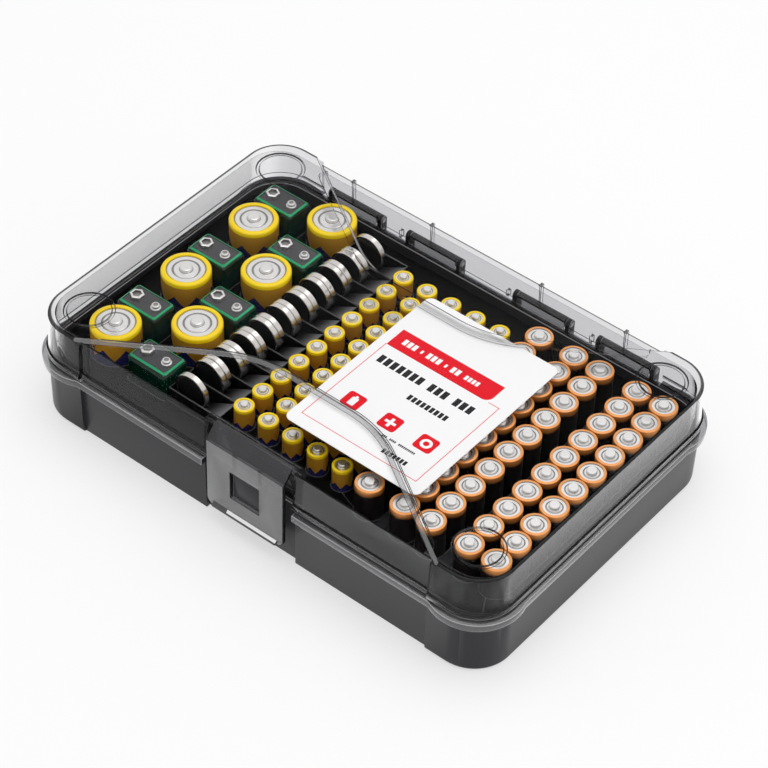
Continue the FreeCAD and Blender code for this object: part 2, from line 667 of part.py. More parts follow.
def make_latch_flap():
    body = new_body("latch_flap")
    plate = new_sketch(body, "XZ_Plane", "flap_back")
    draw_box(plate, "-flap_width / 2", "flap_width / 2", "flap_low", "flap_shoulder - 1")
    extrude(body, "Pad", plate, "flap_thickness")
    low = size("flap_low")

    def is_low_corner(edge):
        box = edge.BoundBox
        return box.YLength > TOLERANCE and abs(box.ZMax - low) < TOLERANCE and box.XLength < TOLERANCE

    round_edges(body, "flap_corner_radius", is_low_corner)

    # sloping shoulder up to the pivot barrel, with a stud at each end
    shoulder = new_sketch(body, "YZ_Plane")
    draw_polygon(shoulder, [
        ("-flap_face", "flap_shoulder - 1"),
        ("-flap_face", "flap_shoulder"),
        ("-flap_pivot_y - 0.43 * flap_barrel_radius", "flap_pivot_height + 0.9 * flap_barrel_radius"),
        ("-flap_pivot_y + 0.3 * flap_barrel_radius", "flap_pivot_height + 0.3 * flap_barrel_radius"),
        ("-flap_back", "flap_shoulder - 0.8"),
        ("-flap_back", "flap_shoulder - 1"),
    ])
    extrude(body, "Pad", shoulder, "flap_width", symmetric=True)
    barrel = new_sketch(body, "YZ_Plane")
    draw_circle(barrel, "-flap_pivot_y", "flap_pivot_height", "flap_barrel_radius")
    extrude(body, "Pad", barrel, "flap_width", symmetric=True)
    studs = new_sketch(body, "YZ_Plane")
    draw_circle(studs, "-flap_pivot_y", "flap_pivot_height", "pin_radius")
    extrude(body, "Pad", studs, "2 * (lid_opening_half + stud_reach)", symmetric=True)

    # window over the catch, two ribs behind it and a finger lip below
    window = new_sketch(body, "XZ_Plane", "case_depth / 2")
    draw_box(window, "-window_half_width", "window_half_width", "window_low", "window_high")
    extrude(body, "Pocket", window, "case_depth / 2 - flap_back")
    ribs = new_sketch(body, "XZ_Plane", "flap_back")
    for side in ("-", ""):
        draw_box(ribs, f"{side}(window_half_width - flap_rib_width)", f"{side}window_half_width",
                 "window_high + 1", "flap_shoulder - 1")
    extrude(body, "Pad", ribs, "flap_rib_reach", backwards=True)
    lip = new_sketch(body, "YZ_Plane")
    draw_polygon(lip, [
        ("-flap_face + flap_thickness / 2", "flap_low"),
        ("-case_depth / 2", "flap_low"),
        ("-case_depth / 2", "flap_low + flap_lip_height / 4"),
        ("-flap_face", "flap_low + flap_lip_height"),
        ("-flap_face + flap_thickness / 2", "flap_low + flap_lip_height"),
    ])
    extrude(body, "Pad", lip, "flap_width - 2 * flap_corner_radius", symmetric=True)
    return body


# ---- insert ----

def make_battery_tray():
    body = new_body("battery_tray")
    corner = "cavity_radius"
    outline = new_sketch(body, "XY_Plane", "floor_thickness")
    draw_rounded_box(outline, "tray_x", "tray_y", corner)
    extrude(body, "Pad", outline, "deck_top - floor_thickness")
    hollow = new_sketch(body, "XY_Plane", "floor_thickness")
    draw_rounded_box(hollow, "tray_x - tray_wall", "tray_y - tray_wall", f"{corner} - tray_wall")
    extrude(body, "Pocket", hollow, "deck_top - floor_thickness - deck_thickness", backwards=True)

    # upright partitions under the deck, between the groups of cells
    partitions = new_sketch(body, "XY_Plane", "cell_floor")
    between = [
        "(left_column_x + right_column_x) / 2",
        "rack_right_x - rack_length / 2",
        "aa_single_x - (aa_diameter + aa_first_gap) / 2",
        "aa_single_x + (aa_diameter + aa_near_gap) / 2",
        "aa_far_x - (aa_diameter + aa_far_gap) / 2",
    ]
    for middle in between:
        draw_box(partitions, f"{middle} - tray_wall / 2", f"{middle} + tray_wall / 2",
                 "-tray_y + tray_wall / 2", "tray_y - tray_wall / 2")
    extrude(body, "Pad", partitions, "deck_top - deck_thickness / 2 - cell_floor")

    # holes in the deck
    slots = new_sketch(body, "XY_Plane", "deck_top")
    for across in AA_COLUMNS:
        radius = "aa_diameter / 2 + pocket_gap"
        draw_slot(slots, across, f"aa_first_y + {radius}", radius)
    extrude(body, "Pocket", slots, "deck_thickness")
    rounds = new_sketch(body, "XY_Plane", "deck_top")
    for across in AAA_COLUMNS:
        draw_circle(rounds, across, "aaa_first_y", "aaa_diameter / 2 + pocket_gap")
    first_row = extrude(body, "Pocket", rounds, "deck_thickness")
    row_of(body, first_row, "Y_Axis", "2 * aaa_first_y", "aaa_rows")
    wells = new_sketch(body, "XY_Plane", "deck_top")
    for across, along in C_PLACES:
        draw_circle(wells, across, along, "c_diameter / 2 + pocket_gap")
    extrude(body, "Pocket", wells, "deck_thickness")
    blocks = new_sketch(body, "XY_Plane", "deck_top")
    for across, along in BLOCK_PLACES:
        draw_rounded_box(blocks, "block_length / 2 + pocket_gap", "block_depth / 2 + pocket_gap",
                         "block_corner_radius + pocket_gap", across, along)
    extrude(body, "Pocket", blocks, "deck_thickness")

    # rack of coin slots: a block with a row of slots, each with a ramp up to its right-hand end
    rack = new_sketch(body, "XY_Plane", "deck_top - deck_thickness / 2")
    draw_box(rack, "rack_left_x", "rack_right_x", "-rack_half", "rack_half")
    extrude(body, "Pad", rack, "rack_height + deck_thickness / 2")
    slot = new_sketch(body, "XY_Plane", "rack_top")
    draw_box(slot, "rack_left_x + rack_wall", "rack_right_x - rack_wall",
             "coin_first_y - coin_pitch / 2 + rack_divider / 2",
             "coin_first_y + coin_pitch / 2 - rack_divider / 2")
    first_slot = extrude(body, "Pocket", slot, "rack_height")
    row_of(body, first_slot, "Y_Axis", "2 * coin_first_y", "coin_slots")
    ramps = new_sketch(body, "XZ_Plane")
    draw_polygon(ramps, [
        ("ramp_start_x", "deck_top - deck_thickness / 2"),
        ("rack_right_x - rack_wall / 2", "deck_top - deck_thickness / 2"),
        ("rack_right_x - rack_wall / 2", "deck_top + ramp_rise"),
        ("ramp_start_x", "deck_top"),
    ])
    extrude(body, "Pad", ramps, "2 * rack_half - rack_divider", symmetric=True)
    return body


# ---- cells ----

def make_turned_cell(name, diameter, height):
    """Round cell with a button on top, turned about its own axis."""
    body = new_body(name)
    edge = "button_height / 3"
    profile = new_sketch(body, "XZ_Plane")
    draw_polygon(profile, [
        ("0", "0"),
        (f"{diameter} / 2 - {edge}", "0"),
        (f"{diameter} / 2", edge),
        (f"{diameter} / 2", f"{height} - button_height - {edge}"),
        (f"{diameter} / 2 - {edge}", f"{height} - button_height"),
        ("button_radius", f"{height} - button_height"),
        ("button_radius", height),
        ("0", height),
    ])
    feature = body.newObject("PartDesign::Revolution", "Revolution")
    feature.Profile = profile
    feature.ReferenceAxis = (profile, ["V_Axis"])
    feature.Angle = 360
    finish_feature(body, feature, 0.0, True)
    return body, feature


def make_column(name, across, diameter, height, first, count):
    body, cell = make_turned_cell(name, diameter, height)
    row_of(body, cell, "Y_Axis", f"2 * {first}", count)
    put(body, across, first, "cell_floor")
    return body


def make_block_cell(name, across, along):
    """Rectangular cell with its two snap terminals."""
    body = new_body(name)
    outline = new_sketch(body, "XY_Plane")
    draw_rounded_box(outline, "block_length / 2", "block_depth / 2", "block_corner_radius")
    extrude(body, "Pad", outline, "block_height")
    snaps = new_sketch(body, "XY_Plane", "block_height")
    draw_circle(snaps, "-snap_spacing / 2", "0", "snap_spacing * 0.3")
    draw_circle(snaps, "snap_spacing / 2", "0", "snap_spacing * 0.22")
    extrude(body, "Pad", snaps, "snap_height")
    put(body, across, along, "cell_floor")
    return body


def make_coin_cells():
    """Coins on edge: one in the first and last slot and a pair in each slot between."""
    body = new_body("coin_cells")
    for start in ("coin_gap / 2 + coin_thickness", "-coin_pitch - coin_gap / 2"):
        disc = new_sketch(body, "XZ_Plane", f"-({start})")
        draw_circle(disc, "0", "coin_diameter / 2", "coin_diameter / 2")
        coin = extrude(body, "Pad", disc, "coin_thickness")
        row_of(body, coin, "Y_Axis", "2 * coin_first_y - coin_pitch", "coin_slots - 1")
    put(body, "coin_x", "coin_first_y", "deck_top")
    return body


def make_label_card():
    body = new_body("label_card")
    outline = new_sketch(body, "XY_Plane")
    draw_rounded_box(outline, "card_width / 2", "card_length / 2", "card_corner_radius")
    extrude(body, "Pad", outline, "card_thickness")
    put(body, "card_x", "-card_y", "ceiling - step_depth - card_thickness")
    return body


def make_hinge_pin(name, centre):
    pin = doc.addObject("Part::Cylinder", name)
    pin.Label = name
    bind(pin, "Radius", "pin_radius")
    bind(pin, "Height", "2 * hinge_span")
    pin.Placement.Rotation = FreeCAD.Rotation(Z_AXIS, X_AXIS)
    put(pin, f"{centre} - hinge_span", "hinge_y", "hinge_height")
    return pin


parts = [make_case_base(), make_battery_tray(), make_lid(), make_latch_flap(), make_label_card()]
parts += [make_hinge_pin(f"hinge_pin_{n}", centre) for n, centre in enumerate(HINGE_CENTRES, 1)]
parts += [
    make_column(f"aa_column_{n}", across, "aa_diameter", "aa_height", "aa_first_y", "aa_rows")
    for n, across in enumerate(AA_COLUMNS, 1)
]
parts += [
    make_column(f"aaa_column_{n}", across, "aaa_diameter", "aaa_height", "aaa_first_y", "aaa_rows")
    for n, across in enumerate(AAA_COLUMNS, 1)
]
for number, (across, along) in enumerate(C_PLACES, 1):
    c_cell, turned = make_turned_cell(f"c_cell_{number}", "c_diameter", "c_height")
    put(c_cell, across, along, "cell_floor")
    parts.append(c_cell)
parts += [make_block_cell(f"block_cell_{n}", *where) for n, where in enumerate(BLOCK_PLACES, 1)]
parts.append(make_coin_cells())
doc.recompute()

# ---- checks and export ----

for item in doc.Objects:
    if "Invalid" in item.State or "Error" in item.State:
        raise RuntimeError(f"{item.Name} failed: {item.State}")
for part in parts:
    if part.Shape.isNull() or not part.Shape.isValid():
        raise RuntimeError(f"{part.Label} has no valid shape")

os.makedirs("parts", exist_ok=True)
for part in parts:
    part.Shape.exportStep(f"parts/{part.Label}.step")
    print(part.Label, len(part.Shape.Solids), "solids", round(part.Shape.Volume), "mm3", part.Shape.BoundBox)
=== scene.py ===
import math

import bpy
from mathutils import Matrix, Vector


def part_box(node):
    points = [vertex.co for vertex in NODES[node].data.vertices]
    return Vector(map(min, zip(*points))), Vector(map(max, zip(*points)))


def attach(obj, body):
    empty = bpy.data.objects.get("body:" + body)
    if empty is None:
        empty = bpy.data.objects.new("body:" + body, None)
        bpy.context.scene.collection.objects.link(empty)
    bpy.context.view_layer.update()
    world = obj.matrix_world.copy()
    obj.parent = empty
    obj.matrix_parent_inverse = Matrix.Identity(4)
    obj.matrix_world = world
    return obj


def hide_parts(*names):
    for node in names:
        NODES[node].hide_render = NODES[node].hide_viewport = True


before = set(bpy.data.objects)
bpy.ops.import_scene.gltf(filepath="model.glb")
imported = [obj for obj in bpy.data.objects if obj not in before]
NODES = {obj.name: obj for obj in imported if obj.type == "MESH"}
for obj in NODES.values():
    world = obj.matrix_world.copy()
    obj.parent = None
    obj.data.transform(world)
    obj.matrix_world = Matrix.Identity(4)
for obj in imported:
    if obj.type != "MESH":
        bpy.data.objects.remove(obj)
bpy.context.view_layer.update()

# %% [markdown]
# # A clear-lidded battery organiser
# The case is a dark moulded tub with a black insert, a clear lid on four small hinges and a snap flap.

MM = 0.001


def deselect():
    """Leave nothing selected, because an operator acts on everything that is."""
    if bpy.context.mode != "OBJECT":
        bpy.ops.object.mode_set(mode="OBJECT")
    bpy.ops.object.select_all(action="DESELECT")


def pick(piece):
    """Select one piece alone and make it the active one."""
    deselect()
    piece.select_set(True)
    bpy.context.view_layer.objects.active = piece


# %% [markdown]
# ## Choosing faces in code
# By hand one would click faces in edit mode. In a script they are chosen by what is true of them, such as
# their height or the way they face, and then handed to the same edit-mode operators.

# %% Selecting by place and direction
def choose(piece, kind, test):
    """Go into edit mode with only the faces, edges or points selected that pass the test."""
    pick(piece)
    mesh = piece.data
    for items in (mesh.vertices, mesh.edges, mesh.polygons):
        items.foreach_set("select", [False] * len(items))
    chosen = {"FACE": mesh.polygons, "EDGE": mesh.edges, "VERT": mesh.vertices}[kind]
    for item in chosen:
        item.select = test(item)
    bpy.ops.object.mode_set(mode="EDIT")
    bpy.ops.mesh.select_mode(type=kind)


def paint_faces(piece, slot, test):
    """Give the faces that pass the test another of the piece's materials."""
    choose(piece, "FACE", test)
    piece.active_material_index = slot
    bpy.ops.object.material_slot_assign()
    bpy.ops.object.mode_set(mode="OBJECT")


def dress(piece, materials):
    """Give a piece its materials, one slot each, in place of any that it has."""
    piece.data.materials.clear()
    for material in materials:
        piece.data.materials.append(material)


print("faces can be chosen and painted")

# %% [markdown]
# ## Copies and finished pieces
# What repeats is modelled once and copied, and each copy gets a mesh of its own, so that it can be exported
# alone. A finished piece keeps its place in its mesh and its object at the origin. Then it is told which body
# it rides on and which plain solid it stands for.

# %% Copying and settling
def own_copy(source):
    """A new object with its own copy of a mesh, and none of the marks that the frame keeps on the source."""
    twin = bpy.data.objects.new(f"{source.name}_copy", source.data.copy())
    bpy.context.scene.collection.objects.link(twin)
    return twin


def settle(piece, name, body, slot, *replaced):
    """Name a finished piece, put its place into its mesh, and let it ride on its body."""
    pick(piece)
    bpy.ops.object.transform_apply(location=True, rotation=True, scale=True)
    piece.name = name
    piece.data.name = name
    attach(piece, body)
    if replaced:
        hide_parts(*replaced)
    print(f"{name}: {len(piece.data.polygons)} faces on {body}")
    return piece


def copy_to_places(piece, name, node, last, slot):
    """Copy a finished first piece to the places of the nodes numbered 2 to last."""
    for number in range(2, last + 1):
        twin = own_copy(piece)
        twin.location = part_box(f"{node}_{number}")[0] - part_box(f"{node}_1")[0]
        settle(twin, f"{name}_{number}", "case", slot, f"{node}_{number}")


def join(active, *others):
    """Join pieces into the first of them."""
    pick(active)
    for other in others:
        other.select_set(True)
    bpy.ops.object.join()


print("pieces can be copied, settled and joined")

# %% [markdown]
# ## Shader sums in plain Python
# A procedural finish is mostly arithmetic on coordinates. Wiring Math nodes by hand hides that, so a small
# class wraps a socket and turns Python's own operators into Math nodes.

# %% The socket wrapper
class Value:
    """A socket of a finish, ready for sums."""

    def __init__(self, finish, socket):
        self.finish = finish
        self.socket = socket

    def math(self, operation, *others):
        """Add a Math node that works on this value and the others."""
        inputs = dict(enumerate((self, *others)))
        return self.finish.node("ShaderNodeMath", {"operation": operation}, inputs)[0]

    def __add__(self, other):
        return self.math("ADD", other)

    def __sub__(self, other):
        return self.math("SUBTRACT", other)

    def __mul__(self, other):
        return self.math("MULTIPLY", other)

    def __truediv__(self, other):
        return self.math("DIVIDE", other)

    __radd__ = __add__
    __rmul__ = __mul__

    def __rsub__(self, other):
        return (self * -1.0) + other

    def __abs__(self):
        return self.math("ABSOLUTE")

    def largest(self, other):
        """The larger of the two, point by point."""
        return self.math("MAXIMUM", other)

    def smallest(self, other):
        """The smaller of the two, point by point."""
        return self.math("MINIMUM", other)

    def clamped(self):
        """Held between 0 and 1."""
        return self.largest(0.0).smallest(1.0)

    def below(self, limit):
        """1 where the value lies below the limit, and 0 elsewhere."""
        return self.math("LESS_THAN", limit)

    def above(self, limit):
        """1 where the value lies above the limit, and 0 elsewhere."""
        return self.math("GREATER_THAN", limit)


def together(masks):
    """One mask that holds wherever any of the masks does."""
    whole = masks[0]
    for mask in masks[1:]:
        whole = whole.largest(mask)
    return whole


print("a socket can be added, scaled and compared")

# %% [markdown]
# ## Building a node tree
# Every finish starts as an empty tree with its output. One method adds any node: its type, its settings,
# and the numbers or links of its sockets. The small methods after it only save typing for the nodes that
# come up again and again.

# %% The finish class
class Made:
    """A node that has been added to a finish; its outputs are taken by name or number."""

    def __init__(self, finish, node):
        self.finish = finish
        self.node = node

    def __getitem__(self, output):
        return Value(self.finish, self.node.outputs[output])


class Finish:
    """A node tree of a material or of the world, built up towards its output."""

    def __init__(self, name, world=False):
        self.owner = (bpy.data.worlds if world else bpy.data.materials).new(name)
        self.owner.use_nodes = True
        self.tree = self.owner.node_tree
        self.tree.nodes.clear()
        self.output = self.tree.nodes.new("ShaderNodeOutputWorld" if world else "ShaderNodeOutputMaterial")

    def node(self, kind, settings, inputs):
        """Add any node: its type, its settings, and then the numbers or links of its sockets."""
        made = self.tree.nodes.new(kind)
        for key, setting in settings.items():
            setattr(made, key, setting)
        for key, item in inputs.items():
            if isinstance(item, Value):
                self.tree.links.new(item.socket, made.inputs[key])
            else:
                made.inputs[key].default_value = item
        return Made(self, made)

    def surface(self, shader):
        """Lead a shader to the output, and hand over the finished material or world."""
        self.tree.links.new(shader.socket, self.output.inputs["Surface"])
        return self.owner

    def point(self):
        """The point's own coordinates, in metres."""
        return self.node("ShaderNodeTexCoord", {}, {})["Object"]

    def split(self, point):
        """The three numbers of a point."""
        parts = self.node("ShaderNodeSeparateXYZ", {}, {0: point})
        return parts["X"], parts["Y"], parts["Z"]

    def noise(self, point, scale, detail=3.0):
        """Soft noise between 0 and 1; a higher scale makes it finer."""
        inputs = {"Vector": point, "Scale": scale, "Detail": detail}
        return self.node("ShaderNodeTexNoise", {}, inputs)["Fac"]

    def blend(self, share, first, second):
        """Mix of two colours, at sockets 6 and 7 of the node; the share says how much of the second."""
        return self.node("ShaderNodeMix", {"data_type": "RGBA"}, {0: share, 6: first, 7: second})[2]

    def bump(self, height, strength, distance):
        """A normal tipped by a height; the distance is in metres."""
        inputs = {"Strength": strength, "Distance": distance, "Height": height}
        return self.node("ShaderNodeBump", {}, inputs)["Normal"]

    def principled(self, **inputs):
        """The all-round shader, with its sockets named as in Blender, but for the underscores."""
        named = {key.replace("_", " "): item for key, item in inputs.items()}
        return self.node("ShaderNodeBsdfPrincipled", {}, named)["BSDF"]

    def tinted(self, tint):
        """See-through, with light tinted on its way."""
        return self.node("ShaderNodeBsdfTransparent", {}, {"Color": tint})["BSDF"]

    def glossy(self, rough):
        """A plain white mirror."""
        return self.node("ShaderNodeBsdfGlossy", {}, {"Color": shade(1.0), "Roughness": rough})["BSDF"]

    def slant(self):
        """Near 0 where a surface faces the eye and 1 at its rim, raised so that it climbs late."""
        facing = self.node("ShaderNodeLayerWeight", {}, {"Blend": 0.5})["Facing"]
        return facing.math("POWER", 5.0)

    def cover(self, share, below, above):
        """One shader over another; the share says how much of the upper one shows."""
        return self.node("ShaderNodeMixShader", {}, {0: share, 1: below, 2: above})[0]

    def shown(self):
        """1 for the eye and for what a mirror or clear plastic shows it, and 0 for plain light."""
        path = self.node("ShaderNodeLightPath", {}, {})
        return path["Is Camera Ray"].largest(path["Is Glossy Ray"]).largest(path["Is Transmission Ray"])


def shade(grey, red=0.0, blue=0.0):
    """An almost neutral colour with a small lean to red or blue."""
    return (grey + red, grey, grey + blue, 1.0)


print("shader tools ready")

# %% [markdown]
# ## Moulded plastics
# The tub is a dark smoke plastic with a polished skin. Real mouldings are never quite even: the polish
# drifts a little and the skin ripples where the plastic flowed. Large soft noise drives the roughness, and
# a very fine bump gives the ripple. The same recipe, paler, is a painted highlight on rounded edges and lips.

# %% Tub plastic
def moulded_plastic(name, dark, light, rough, ripple, specular=0.5):
    """Opaque plastic: two near tones, a drifting polish and a fine ripple."""
    finish = Finish(name)
    point = finish.point()
    drift = finish.noise(point, scale=18.0)
    grain = finish.noise(point, scale=900.0, detail=2.0)
    return finish.surface(finish.principled(
        Base_Color=finish.blend(drift, dark, light),
        Roughness=rough + drift * 0.08,
        Normal=finish.bump(grain, strength=ripple, distance=0.1 * MM),
        Specular_IOR_Level=specular))


TUB = moulded_plastic(
    "smoke_tub_plastic", shade(0.022, blue=0.003), shade(0.027, blue=0.004), rough=0.26, ripple=0.06,
    specular=0.22)
# Painted highlight: a paler copy of the tub plastic for its rounded upper edges.
TUB_EDGE_HIGHLIGHT = moulded_plastic(
    "smoke_tub_edge_painted_highlight", shade(0.32, blue=0.01), shade(0.42, blue=0.01), rough=0.12, ripple=0.0)
# Painted highlight: a paler copy of the insert plastic for the pocket lips and the tops of the highest walls.
LIP_HIGHLIGHT = moulded_plastic(
    "insert_lip_painted_highlight", shade(0.045), shade(0.075), rough=0.25, ripple=0.05, specular=0.3)
print("plastics:", TUB.name, TUB_EDGE_HIGHLIGHT.name, LIP_HIGHLIGHT.name)

# %% [markdown]
# ## Insert plastic
# The insert is a blacker moulding with a satin skin, and it swallows nearly all light. Only the flat lands
# between the paired rows of long cells are painted a little lighter, as painted light. A land is found from
# the boxes of the columns beside it, so the mask stays right if the cells ever move.

# %% Insert plastic with its lands painted lighter
DECK_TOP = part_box("battery_tray")[1].z - 9.0 * MM
LAND_MARGIN = 0.6 * MM
LAND_REACH = 72 * MM


def insert_plastic():
    """Black deck, with the flat lands between the long rows painted a little lighter as painted light."""
    finish = Finish("black_insert_plastic")
    point = finish.point()
    x, y, z = finish.split(point)
    lands = []
    for left, right in (("aa_column_1", "aa_column_2"), ("aa_column_3", "aa_column_4")):
        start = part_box(left)[1].x + LAND_MARGIN
        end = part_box(right)[0].x - LAND_MARGIN
        lands.append(abs(x - (start + end) / 2).below((end - start) / 2))
    # Painted light: the lands get a lighter tone than the rest of the deck.
    lit_lands = together(lands) * abs(y).below(LAND_REACH) * abs(z - DECK_TOP).below(1 * MM)
    drift = finish.noise(point, scale=30.0)
    ripple = finish.noise(point, scale=300.0, detail=1.0)
    return finish.surface(finish.principled(
        Base_Color=finish.blend(lit_lands, shade(0.003), shade(0.040, blue=0.003)),
        Roughness=0.32 + drift * 0.12,
        Normal=finish.bump(ripple, strength=0.04, distance=0.1 * MM),
        Specular_IOR_Level=0.02))


INSERT = insert_plastic()
print("insert plastic:", INSERT.name, "with its deck at", round(DECK_TOP / MM, 1), "mm")

# %% [markdown]
# ## Ramps of the coin rack
# Each coin slot has a slanted floor that leads up to its right-hand end. Near the top it catches the lamp,
# and deep in the slot it is black. One ramp of tone along the slot says that better than any lamp could.

# %% Ramp plastic
RAMP_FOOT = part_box("coin_cells")[1].x - 2 * MM
RAMP_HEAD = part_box("aaa_column_1")[0].x - 1 * MM


def ramp_plastic():
    """Slanted floors of the coin slots: they shine more the higher and further right they reach."""
    finish = Finish("insert_ramp_plastic")
    point = finish.point()
    x, _, _ = finish.split(point)
    sheen = ((x - RAMP_FOOT) / (RAMP_HEAD - RAMP_FOOT)).clamped().math("POWER", 1.6)
    return finish.surface(finish.principled(
        Base_Color=finish.blend(sheen, shade(0.008), shade(0.24, blue=0.01)),
        Roughness=0.3 + finish.noise(point, scale=60.0) * 0.1,
        Specular_IOR_Level=0.2))


INSERT_RAMP = ramp_plastic()
print("ramp plastic:", INSERT_RAMP.name)

# %% [markdown]
# ## Clear plastic
# A clear lid could be true glass, but light that has to bend through it never reaches the cells cleanly.
# A thin wall hardly bends light, so here it lets it straight through with a light tint, and a Fresnel
# reflection lies over that. Edges and steps get a much darker tint, painted shade in place of the dark
# lines that bending light draws there.

# %% Clear walls and edges
def clear_plastic(name, tint, haze, front, edge):
    """A tinted see-through sheet with a little haze; front and edge say how it mirrors face on and aslant."""
    finish = Finish(name)
    body = finish.principled(Base_Color=shade(0.42, blue=0.01), Roughness=0.35)
    inner = finish.cover(haze, finish.tinted(tint), body)
    mirror = front + edge * finish.slant()
    return finish.surface(finish.cover(mirror, inner, finish.glossy(0.04)))


# Painted shade: near-black tints stand for the dark lines along the edges of the lid and the flap.
LID_EDGE_SHADE = clear_plastic("clear_lid_painted_dark_edge", shade(0.10, blue=0.004), haze=0.01, front=0.02, edge=0.04)
LID_STEP = clear_plastic("clear_lid_step", shade(0.62, blue=0.01), haze=0.13, front=0.10, edge=1.2)
# Painted shade: a dark tint for the knuckles, the rib tops and the cheeks beside the flap.
LID_PAINTED_SHADE = clear_plastic("clear_lid_painted_shade", shade(0.22, blue=0.006), haze=0.02, front=0.05, edge=0.8)
FLAP_WALL = clear_plastic("clear_flap_wall", shade(0.66, blue=0.01), haze=0.28, front=0.05, edge=1.6)
FLAP_SHOULDER = clear_plastic("clear_flap_shoulder", shade(0.58, blue=0.03), haze=0.05, front=0.02, edge=0.6)
FLAP_EDGE_SHADE = clear_plastic("clear_flap_painted_dark_edge", shade(0.08, blue=0.004), haze=0.01, front=0.03, edge=0.1)
TUB_RIM = clear_plastic("smoke_tub_rim", shade(0.62, blue=0.01), haze=0.16, front=0.06, edge=1.2)
print("clear plastics:", LID_EDGE_SHADE.name, LID_STEP.name, LID_PAINTED_SHADE.name, FLAP_WALL.name,
      FLAP_SHOULDER.name, FLAP_EDGE_SHADE.name, TUB_RIM.name)

# %% [markdown]
# ## Finger lip of the flap
# The flap ends in a rounded nose that a finger lifts. The nose is painted dark, as painted shade, with one
# painted highlight line along its length, where a polished nose gathers the bright room.

# %% Lip plastic
FLAP_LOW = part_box("latch_flap")[0]
HIGHLIGHT_RISE = 2.1 * MM
HIGHLIGHT_HALF_HEIGHT = 0.75 * MM
HIGHLIGHT_MIDDLE = 5.5 * MM
HIGHLIGHT_HALF_LENGTH = 16.5 * MM


def lip_highlight_plastic():
    """Painted dark, as painted shade, with one painted highlight line along its rounded nose."""
    finish = Finish("clear_flap_lip_painted_highlight")
    point = finish.point()
    x, _, z = finish.split(point)
    along = abs(x - HIGHLIGHT_MIDDLE).below(HIGHLIGHT_HALF_LENGTH)
    # Painted highlight: a white line along the nose, on a dark painted ground.
    highlight_line = abs(z - (FLAP_LOW.z + HIGHLIGHT_RISE)).below(HIGHLIGHT_HALF_HEIGHT) * along
    return finish.surface(finish.principled(
        Base_Color=finish.blend(highlight_line, shade(0.05, blue=0.003), shade(0.92)),
        Roughness=0.12 + finish.noise(point, scale=200.0) * 0.1))


FLAP_LIP_HIGHLIGHT = lip_highlight_plastic()
print("lip plastic:", FLAP_LIP_HIGHLIGHT.name)

# %% [markdown]
# ## Top of the lid
# Looked at from above, the flat top is almost invisible, and its outline is a painted dark line, painted
# shade where the thick wall below swallows the light. The line follows a rounded box: the distance of a
# point from its outline is worked out with sums, and a narrow band inside the outline is dark. Between the
# corner posts the panel is set in a little, and the line moves in with it.

# %% Lid top plastic
TOP_HALF_LENGTH = 143.1 * MM
TOP_HALF_DEPTH = 93.1 * MM
TOP_CORNER = 20.6 * MM
PANEL_HALF_LENGTH = 110 * MM
PANEL_INSET = 2.1 * MM
UPPER_FIELD = 61 * MM


def lid_top_plastic():
    """Clear top with a painted dark line along its outline, wider on the upper field than on the sunken ones.
    """
    finish = Finish("clear_lid_top")
    x, y, z = finish.split(finish.point())
    panel = abs(x).below(PANEL_HALF_LENGTH)
    far_x = abs(x) - (TOP_HALF_LENGTH - TOP_CORNER)
    far_y = abs(y) + panel * PANEL_INSET - (TOP_HALF_DEPTH - TOP_CORNER)
    out_x = far_x.largest(0.0)
    out_y = far_y.largest(0.0)
    past = (out_x * out_x + out_y * out_y).math("SQRT") + far_x.largest(far_y).smallest(0.0) - TOP_CORNER
    band = 0.9 * MM + z.above(UPPER_FIELD) * (1.0 * MM)
    # Painted shade: the band inside the outline gets a dark tint.
    line = ((past + band) / (0.4 * MM)).clamped()
    clear = finish.tinted(shade(0.985, blue=0.001))
    painted_outline_shade = finish.tinted(shade(0.16, blue=0.005))
    mirror = 0.0003 + 0.32 * finish.slant()
    return finish.surface(finish.cover(mirror, finish.cover(line, clear, painted_outline_shade), finish.glossy(0.03)))


LID_TOP = lid_top_plastic()
print("lid top plastic:", LID_TOP.name)

# %% [markdown]
# ## Walls of the lid
# The walls are polished at the front and right, where they mirror the room, and duller towards the left and
# the back. Towards the back they are painted smokier, as painted shade. Where a panel steps at the front
# right, a narrow painted dark line runs down the wall as painted shade. A point's place says which of these
# it gets.

# %% Lid wall plastic
LEFT_WALL = -132 * MM
BACK_WALL = 84 * MM
SEAM_AT = 110.5 * MM
SEAM_HALF_WIDTH = 0.5 * MM
FRONT_WALL = -85 * MM


def lid_wall_plastic():
    """Clear wall that changes from a bright front to a back in painted shade, with a painted dark line where
    a panel steps.
    """
    finish = Finish("clear_lid_wall")
    x, y, _ = finish.split(finish.point())
    left = ((LEFT_WALL - x) / (8 * MM)).clamped()
    back = ((y - BACK_WALL) / (5 * MM)).clamped()
    # Painted shade: a dark line where the front panel steps, and a smokier tint towards the back.
    painted_seam = abs(x - SEAM_AT).below(SEAM_HALF_WIDTH) * y.below(FRONT_WALL)
    light = finish.tinted(shade(0.992, blue=0.006))
    back_shade_tint = finish.tinted(shade(0.856, blue=0.012))
    shadow = finish.tinted(shade(0.12))
    through = finish.cover(painted_seam, finish.cover(back, light, back_shade_tint), shadow)
    haze = finish.principled(Base_Color=shade(0.18, blue=0.004), Roughness=0.35, Specular_IOR_Level=0.2)
    inner = finish.cover(0.08 - 0.07 * painted_seam, through, haze)
    mirror = 0.003 + (3.6 - (1.8 * left).largest(3.0 * back)) * finish.slant()
    return finish.surface(finish.cover(mirror, inner, finish.glossy(0.04)))


LID_WALL = lid_wall_plastic()
print("lid wall plastic:", LID_WALL.name)

# %% [markdown]
# ## Metals of the cells
# Caps are bright nickel with fine turning marks, grooves are the same metal in shadow, and coin rims are a
# warmer polished steel. Real metal shows a slow drift of its polish and many tiny scuffs, so one noise
# moves the roughness and a much finer one gives a faint bump.

